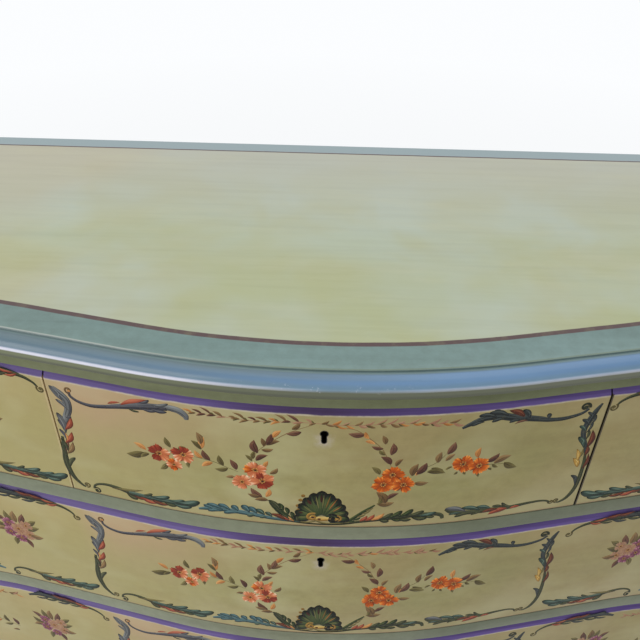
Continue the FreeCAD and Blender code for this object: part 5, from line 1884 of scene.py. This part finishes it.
def nosegay(brush, paints):
    """A loose bunch of small flowers among leaves."""
    brush.origin = 0
    brush.leaves([(x0, y0 + BUNCH_LEVEL, x1, y1 + BUNCH_LEVEL, paint) for x0, y0, x1, y1, paint in (
        (-60, 0, -150, -50, "olive"), (-60, 20, -160, 30, "brown"), (60, 0, 150, -50, "olive"),
        (60, 20, 160, 30, "brown"), (-20, -60, -60, -150, "olive"), (20, -60, 60, -150, "plum"),
        (0, -60, 0, -160, "brown"), (-20, 70, -50, 150, "olive"), (20, 70, 60, 150, "plum"),
        (-80, -50, -140, -110, "plum"), (80, -50, 140, -110, "olive"),
    )])
    spots = [(-62, 34, 44), (66, 30, 46), (-58, -44, 46), (60, -48, 44), (2, 74, 42), (0, -4, 56)]
    for index, (x, y, radius) in enumerate(spots):
        brush.flower(x, y + BUNCH_LEVEL, radius, [paints[index % len(paints)]], index * 31)


def centre_panel(brush, tall):
    """The panel round the keyhole: scrolled frame, garland, two sprays and the shell."""
    brush.place(tall=tall)
    garland(brush)
    brush.draw(*LEFT_MOTIFS, *RIGHT_MOTIFS)


# What frames a side panel: motifs, millimetres from the middle of the dresser, which way
# round, and how far down.
PANEL_FRAME = [
    ((hanging_scroll,), -583, -1, -11),
    ((top_scroll_left, vertical_left, bottom_left), -540, 1, 0),
    ((bottom_left,), -166, 1, 0),
    ((second_run_left,), -541, 1, 0),
    ((second_run_left,), -597, -1, 0),
]
PANEL_MIDDLE = -568
BUNCH_REACH = 160
BUNCH_LEVEL = 400
BLOOM_REACH = 190


def side_panel_paint(brush, side, tall, bunch):
    """The panels at the ends of a row, drawn for the left and mirrored for the right."""
    def placed(shift, way=1, level=0):
        brush.place(sign=way * side, shift=shift * side, tall=tall, level=level)

    for motifs, shift, way, level in PANEL_FRAME:
        placed(shift, way, level)
        brush.draw(*motifs)
    placed(PANEL_MIDDLE - 5)
    garland(brush, -110, 120)
    for reach in (-BUNCH_REACH, BUNCH_REACH):
        placed(PANEL_MIDDLE + reach)
        nosegay(brush, bunch)
    for way in (1, -1):
        placed(PANEL_MIDDLE + BLOOM_REACH * way, way)
        brush.draw(outer_bloom_left)


def ornament_paint():
    """Ornament colours, with hair lines along each stroke and thin patches."""
    shader = Shader("ornament_paint", 0.5, specular=0.10)
    hairs = shader.noise(shader.read("flow"), 1.0, 3, 0.6, stretch=(1.2, 7, 1))
    grain = shader.noise(shader.place, 420, 3, 0.6)
    colour = shader.read("paint", "Color")
    colour = shader.mix(shader.ramp(hairs, 0.45, 0.75, 0, 0.20), colour, HAIR_PALE, "SOFT_LIGHT")
    colour = shader.mix(shader.ramp(grain, 0.55, 0.75, 0, 0.16), colour, CREAM)
    colour = shader.mix(shader.ramp(hairs, 0.58, 0.3, 0, 0.45), colour, HAIR_DARK, "MULTIPLY")
    shader.bump(hairs, BRUSH_DEPTH, 0.6)
    return shader.finish(colour, shader.ramp(grain, 0.3, 0.7, 0.3, 0.48))


ORNAMENT_PAINT = ornament_paint()
SHEET_HEIGHT = 190.5


def flat_surface(origin, along, out):
    """A flat upright surface for a brush: u along it, v down it from its origin."""
    origin, along, out = (np.asarray(item, float) for item in (origin, along, out))

    def at(u, v, lift):
        u, v, lift = (np.asarray(item, float)[:, None] for item in (u, v, lift))
        return origin + u * along + v * np.array([0, 0, -1.0]) + lift * out

    return at


HUSK_PITCH = 132
HUSK_PAINTS = ("sea", "slate", "teal")
BUD_PAINTS = ("red", "orange", "wine")
# The two leaves on each side of a husk: reach, drop, width, and which paint after the husk's.
HUSK_LEAVES = ((66, 66, 24, 1), (44, 104, 20, 0))


def husk_drop(brush, length):
    """A hanging chain of leaf pairs and buds down a post, from its top."""
    count = int(length / HUSK_PITCH)
    brush.origin = 0
    brush.stroke([(0, 40), (4, length * 0.5), (0, length - 30)], 8, "sea", stem_shape, 14)
    for index in range(count):
        y = 60 + index * HUSK_PITCH + (length - 90 - count * HUSK_PITCH) / 2
        size = 1 - 0.30 * abs(index / max(count - 1, 1) - 0.35)
        for side in (-1, 1):
            brush.layer = index % 3
            for reach, drop, width, turn in HUSK_LEAVES:
                tip = (side * reach * size, y + drop * size)
                bend = (side * reach * 0.72 * size, y + drop * 0.25 * size)
                paint = HUSK_PAINTS[(index + turn) % 3]
                brush.lobe([(0, y), bend, tip], width * size, paint, 0.6)
        brush.lobe([(0, y + 30), (0, y + 70), (0, y + 108)], 24 * size, BUD_PAINTS[index % 3], 0.7)
    brush.layer = 0


FRAME_STEPS = 30
FRAME_HALF = 3.2
FRAME_MARGIN = 12
FRAME_LEVELS = (34, 600)


def frame_line(brush, left, right, top, bottom):
    """A thin plum line round a panel, in millimetres."""
    brush.origin = 0
    corners = np.array(rectangle(left, right, top, bottom), float)
    for start, end in zip(corners, np.roll(corners, -1, axis=0)):
        shares = np.linspace(0, 1, FRAME_STEPS)[:, None]
        line = (start + (end - start) * shares + (0, SHEET_TOP)) * SQUARES
        brush.ribbon(line, np.full(FRAME_STEPS, FRAME_HALF), "plum")


# What is painted on each half of a side: the motif, how far aside and how far down.
SIDE_MOTIFS = [
    (top_scroll_left, 140, 26), (vertical_left, 146, 62), (vertical_left, 146, 236),
    (inner_wreath_left, 4, 130), (outer_bloom_left, 72, 292), (second_run_left, 0, 386),
]
# On each half of the apron: the motif, which way round, how far along and how far down.
APRON_MOTIFS = [
    (second_run_left, 1, 0, -112), (bottom_left, 1, -10, -117),
    (second_run_left, -1, -600, -114), (second_run_left, 1, -585, -112),
]


def paint_post(name, side, head):
    """A drop of husks down the canted face of a front post."""
    front_x = SIDE_X - CORNER_CANT
    near = np.array([front_x, float(front_y(front_x, FACE_INSET)), 0])
    far = np.array([SIDE_X, float(front_y(SIDE_X, FACE_INSET)) + CORNER_CANT, 0])
    along = (far - near) / np.linalg.norm(far - near)
    out = np.array([along[1], -along[0], 0])
    flip = np.array([side, 1, 1])
    origin = (near + far) / 2 * flip + [0, 0, head]
    brush = Brush(flat_surface(origin, along * flip, out * flip), seed=20 + side)
    husk_drop(brush, (head - KNEE_LEVEL) / MM * SQUARES)
    brush.piece(f"post_{name}_ornament", "case", "painted_case")


def paint_side(name, side, head):
    """A framed panel of scrolls and flowers on a side."""
    low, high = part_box("side_panel_right")
    brush = Brush(
        flat_surface((high.x * side, (low.y + high.y) / 2, head), (0, side, 0), (side, 0, 0)),
        seed=30 + side,
    )
    half = (high.y - low.y) / 2 / MM - FRAME_MARGIN
    frame_line(brush, -half, half, *FRAME_LEVELS)
    for way in (-1, 1):
        for motif, shift, level in SIDE_MOTIFS:
            brush.place(sign=way, shift=shift * way, level=level)
            brush.draw(motif)
    brush.place(level=386)
    brush.draw(shell)
    brush.place(level=190)
    nosegay(brush, ("mauve", "rose", "salmon"))
    brush.piece(f"side_{name}_ornament", "case", "painted_case")


def paint_apron():
    """A shell between runs of leaves that follow the serpentine line."""
    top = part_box("apron")[1].z
    brush = Brush(lambda run, v, lift: on_front(run, v, lift, top), seed=40)
    brush.place(tall=0.75, level=-92)
    brush.draw(shell)
    for way in (-1, 1):
        for motif, turned, shift, level in APRON_MOTIFS:
            brush.place(sign=way * turned, shift=shift * way, tall=0.7, level=level)
            brush.draw(motif)
    brush.piece("apron_ornament", "case", "painted_case")


def paint_case():
    """Ornament of the posts, the sides and the apron."""
    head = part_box("front_leg_right")[1].z
    for side, name in ((-1, "left"), (1, "right")):
        paint_post(name, side, head)
        paint_side(name, side, head)
    paint_apron()


def paint_ornament():
    """The ornament of the drawers, each with its own random draws."""
    for index, name in enumerate(DRAWERS):
        face = FACES[name]
        brush = Brush(face.at, seed=index + 3)
        tall = (face.height / MM - SHEET_BEVEL) / (SHEET_HEIGHT - SHEET_BEVEL)
        if name not in ("left_drawer", "right_drawer"):
            centre_panel(brush, tall)
        bunch = ("mauve", "rose") if face.width > 1 else ("salmon", "crimson")
        if name != "centre_drawer":
            for side, other in ((1, "right_drawer"), (-1, "left_drawer")):
                if name != other:
                    side_panel_paint(brush, side, tall, bunch)
        brush.piece(f"{name}_ornament", name, "painted_front")


WELD_REACH = 0.00001
LOCK_ARRIS = 0.0003
WOOD_ARRIS = 0.0007


def timber_of(name):
    """The material of a piece of woodwork that shows as it is."""
    if name.startswith("side_panel"):
        return CASE_PAINT
    if name == "back_panel":
        return BACK_WOOD
    if name.endswith("lock_case"):
        return LOCK_STEEL
    if name.endswith("lock_bolt"):
        return LOCK_BRASS
    if name in ("drawer_runners", "drawer_guides", "drawer_kickers"):
        return WOODS[1]
    low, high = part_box(name)
    spans = [high[k] - low[k] for k in range(3)]
    return WOODS[spans.index(max(spans))]


def dress_nodes():
    """Materials and softened arrises for the woodwork that shows as it is."""
    for name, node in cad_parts.items():
        if node.hide_render:
            continue
        node.data.materials.clear()
        node.data.materials.append(timber_of(name))
        weld = node.modifiers.new("weld", "WELD")
        weld.merge_threshold = WELD_REACH
        bevel = node.modifiers.new("bevel", "BEVEL")
        bevel.width = LOCK_ARRIS if "lock" in name else WOOD_ARRIS
        bevel.segments = 2
        bevel.limit_method = "ANGLE"
        bevel.angle_limit = math.radians(40)
        bevel.harden_normals = False


# Stage, lights and camera

SKY_WHITE = (0.97, 0.985, 1.0, 1.0)
SKY_STRENGTH = 0.6
FLOOR_SPAN = 6.0
SHADOW_REACH = 1.3


def paper(name, colour):
    """A pale stage material that shows white to the camera and to gloss."""
    shader = Shader(name, 0.9)
    shader.finish(shader.mix(shader.noise(shader.place, 30, 3), colour, PAPER_LIGHT))
    rays = shader.node("ShaderNodeLightPath").outputs
    seen = shader.maths("MAXIMUM", rays["Is Camera Ray"], rays["Is Glossy Ray"])
    seen = shader.maths("MAXIMUM", seen, rays["Is Transmission Ray"])
    distance = shader.node("ShaderNodeVectorMath", shader.place, operation="LENGTH")
    share = shader.ramp(distance.outputs["Value"], SHADOW_REACH, FLOOR_SPAN * 0.6, 0.82, 1.0)
    glow = shader.node("ShaderNodeEmission", SKY_WHITE).outputs[0]
    both = shader.node(
        "ShaderNodeMixShader", shader.times(seen, share), shader.surface.outputs[0], glow
    )
    shader.feed(shader.tree.nodes["Material Output"].inputs[0], both.outputs[0])
    return shader.material


def make_stage():
    """The floor and the sky of a white studio."""
    span = FLOOR_SPAN
    corners = [(x, y, 0) for x, y in rectangle(-span, span, -span, span)]
    mesh = mesh_from("floor", corners, [(0, 1, 2, 3)])
    mesh.materials.append(paper("floor_paper", PAPER))
    floor = add_object("floor", mesh)
    world = bpy.data.worlds.new("studio")
    bpy.context.scene.world = world
    world.use_nodes = True
    nodes = Nodes(world.node_tree)
    rays = nodes.node("ShaderNodeLightPath").outputs
    seen = nodes.maths("MAXIMUM", rays["Is Camera Ray"], rays["Is Transmission Ray"])
    background = nodes.tree.nodes["Background"]
    nodes.feed(background.inputs["Strength"], nodes.ramp(seen, 0, 1, SKY_STRENGTH, 1.0))
    background.inputs["Color"].default_value = SKY_WHITE


def add_light(name, place, aim, size, power, colour):
    """A rectangular light that looks at a point."""
    data = bpy.data.lights.new(name, "AREA")
    data.shape = "RECTANGLE"
    data.size, data.size_y = size
    data.energy = power
    data.color = colour
    lamp = add_object(name, data)
    lamp.location = place
    lamp.rotation_euler = (Vector(aim) - Vector(place)).to_track_quat("-Z", "Y").to_euler()


# Each light: its name, place, what it looks at, size, power and colour.
LIGHTS = (
    ("overhead", (0.0, 0.5, 3.4), (0, 0, 0.8), (5.0, 3.0), 34, (1.0, 0.995, 0.98)),
    ("front_fill", (-2.9, -2.8, 1.9), (0, 0, 0.55), (3.6, 2.4), 71, (1.0, 0.985, 0.95)),
)


# Where the photograph was taken from: place, how far down, left and over it looks, and lens.
CAMERA_PLACE = Vector((0.0021, NOSE_Y - 0.5031, TOP_LEVEL + 0.4474))
CAMERA_DOWN = math.radians(36.78)
CAMERA_YAW = math.radians(0.97)
CAMERA_ROLL = math.radians(1.16)
CAMERA_LENS = 40.6


def make_camera():
    """The camera, as it stood for the photograph."""
    data = bpy.data.cameras.new("camera")
    data.sensor_width = 36
    data.lens = CAMERA_LENS
    data.clip_start = 0.05
    camera = add_object("camera", data)
    turn = (
        Matrix.Rotation(CAMERA_YAW, 4, "Z")
        @ Matrix.Rotation(math.pi / 2 - CAMERA_DOWN, 4, "X")
        @ Matrix.Rotation(CAMERA_ROLL, 4, "Z")
    )
    camera.matrix_world = Matrix.Translation(CAMERA_PLACE) @ turn
    bpy.context.scene.camera = camera


make_camera()
for light in LIGHTS:
    add_light(*light)
make_stage()
make_top()
make_rails()
make_apron()
make_legs()
for drawer_name in DRAWERS:
    make_front(FACES[drawer_name])
paint_ornament()
paint_case()
dress_nodes()

view = bpy.context.scene.view_settings
view.view_transform = "Standard"
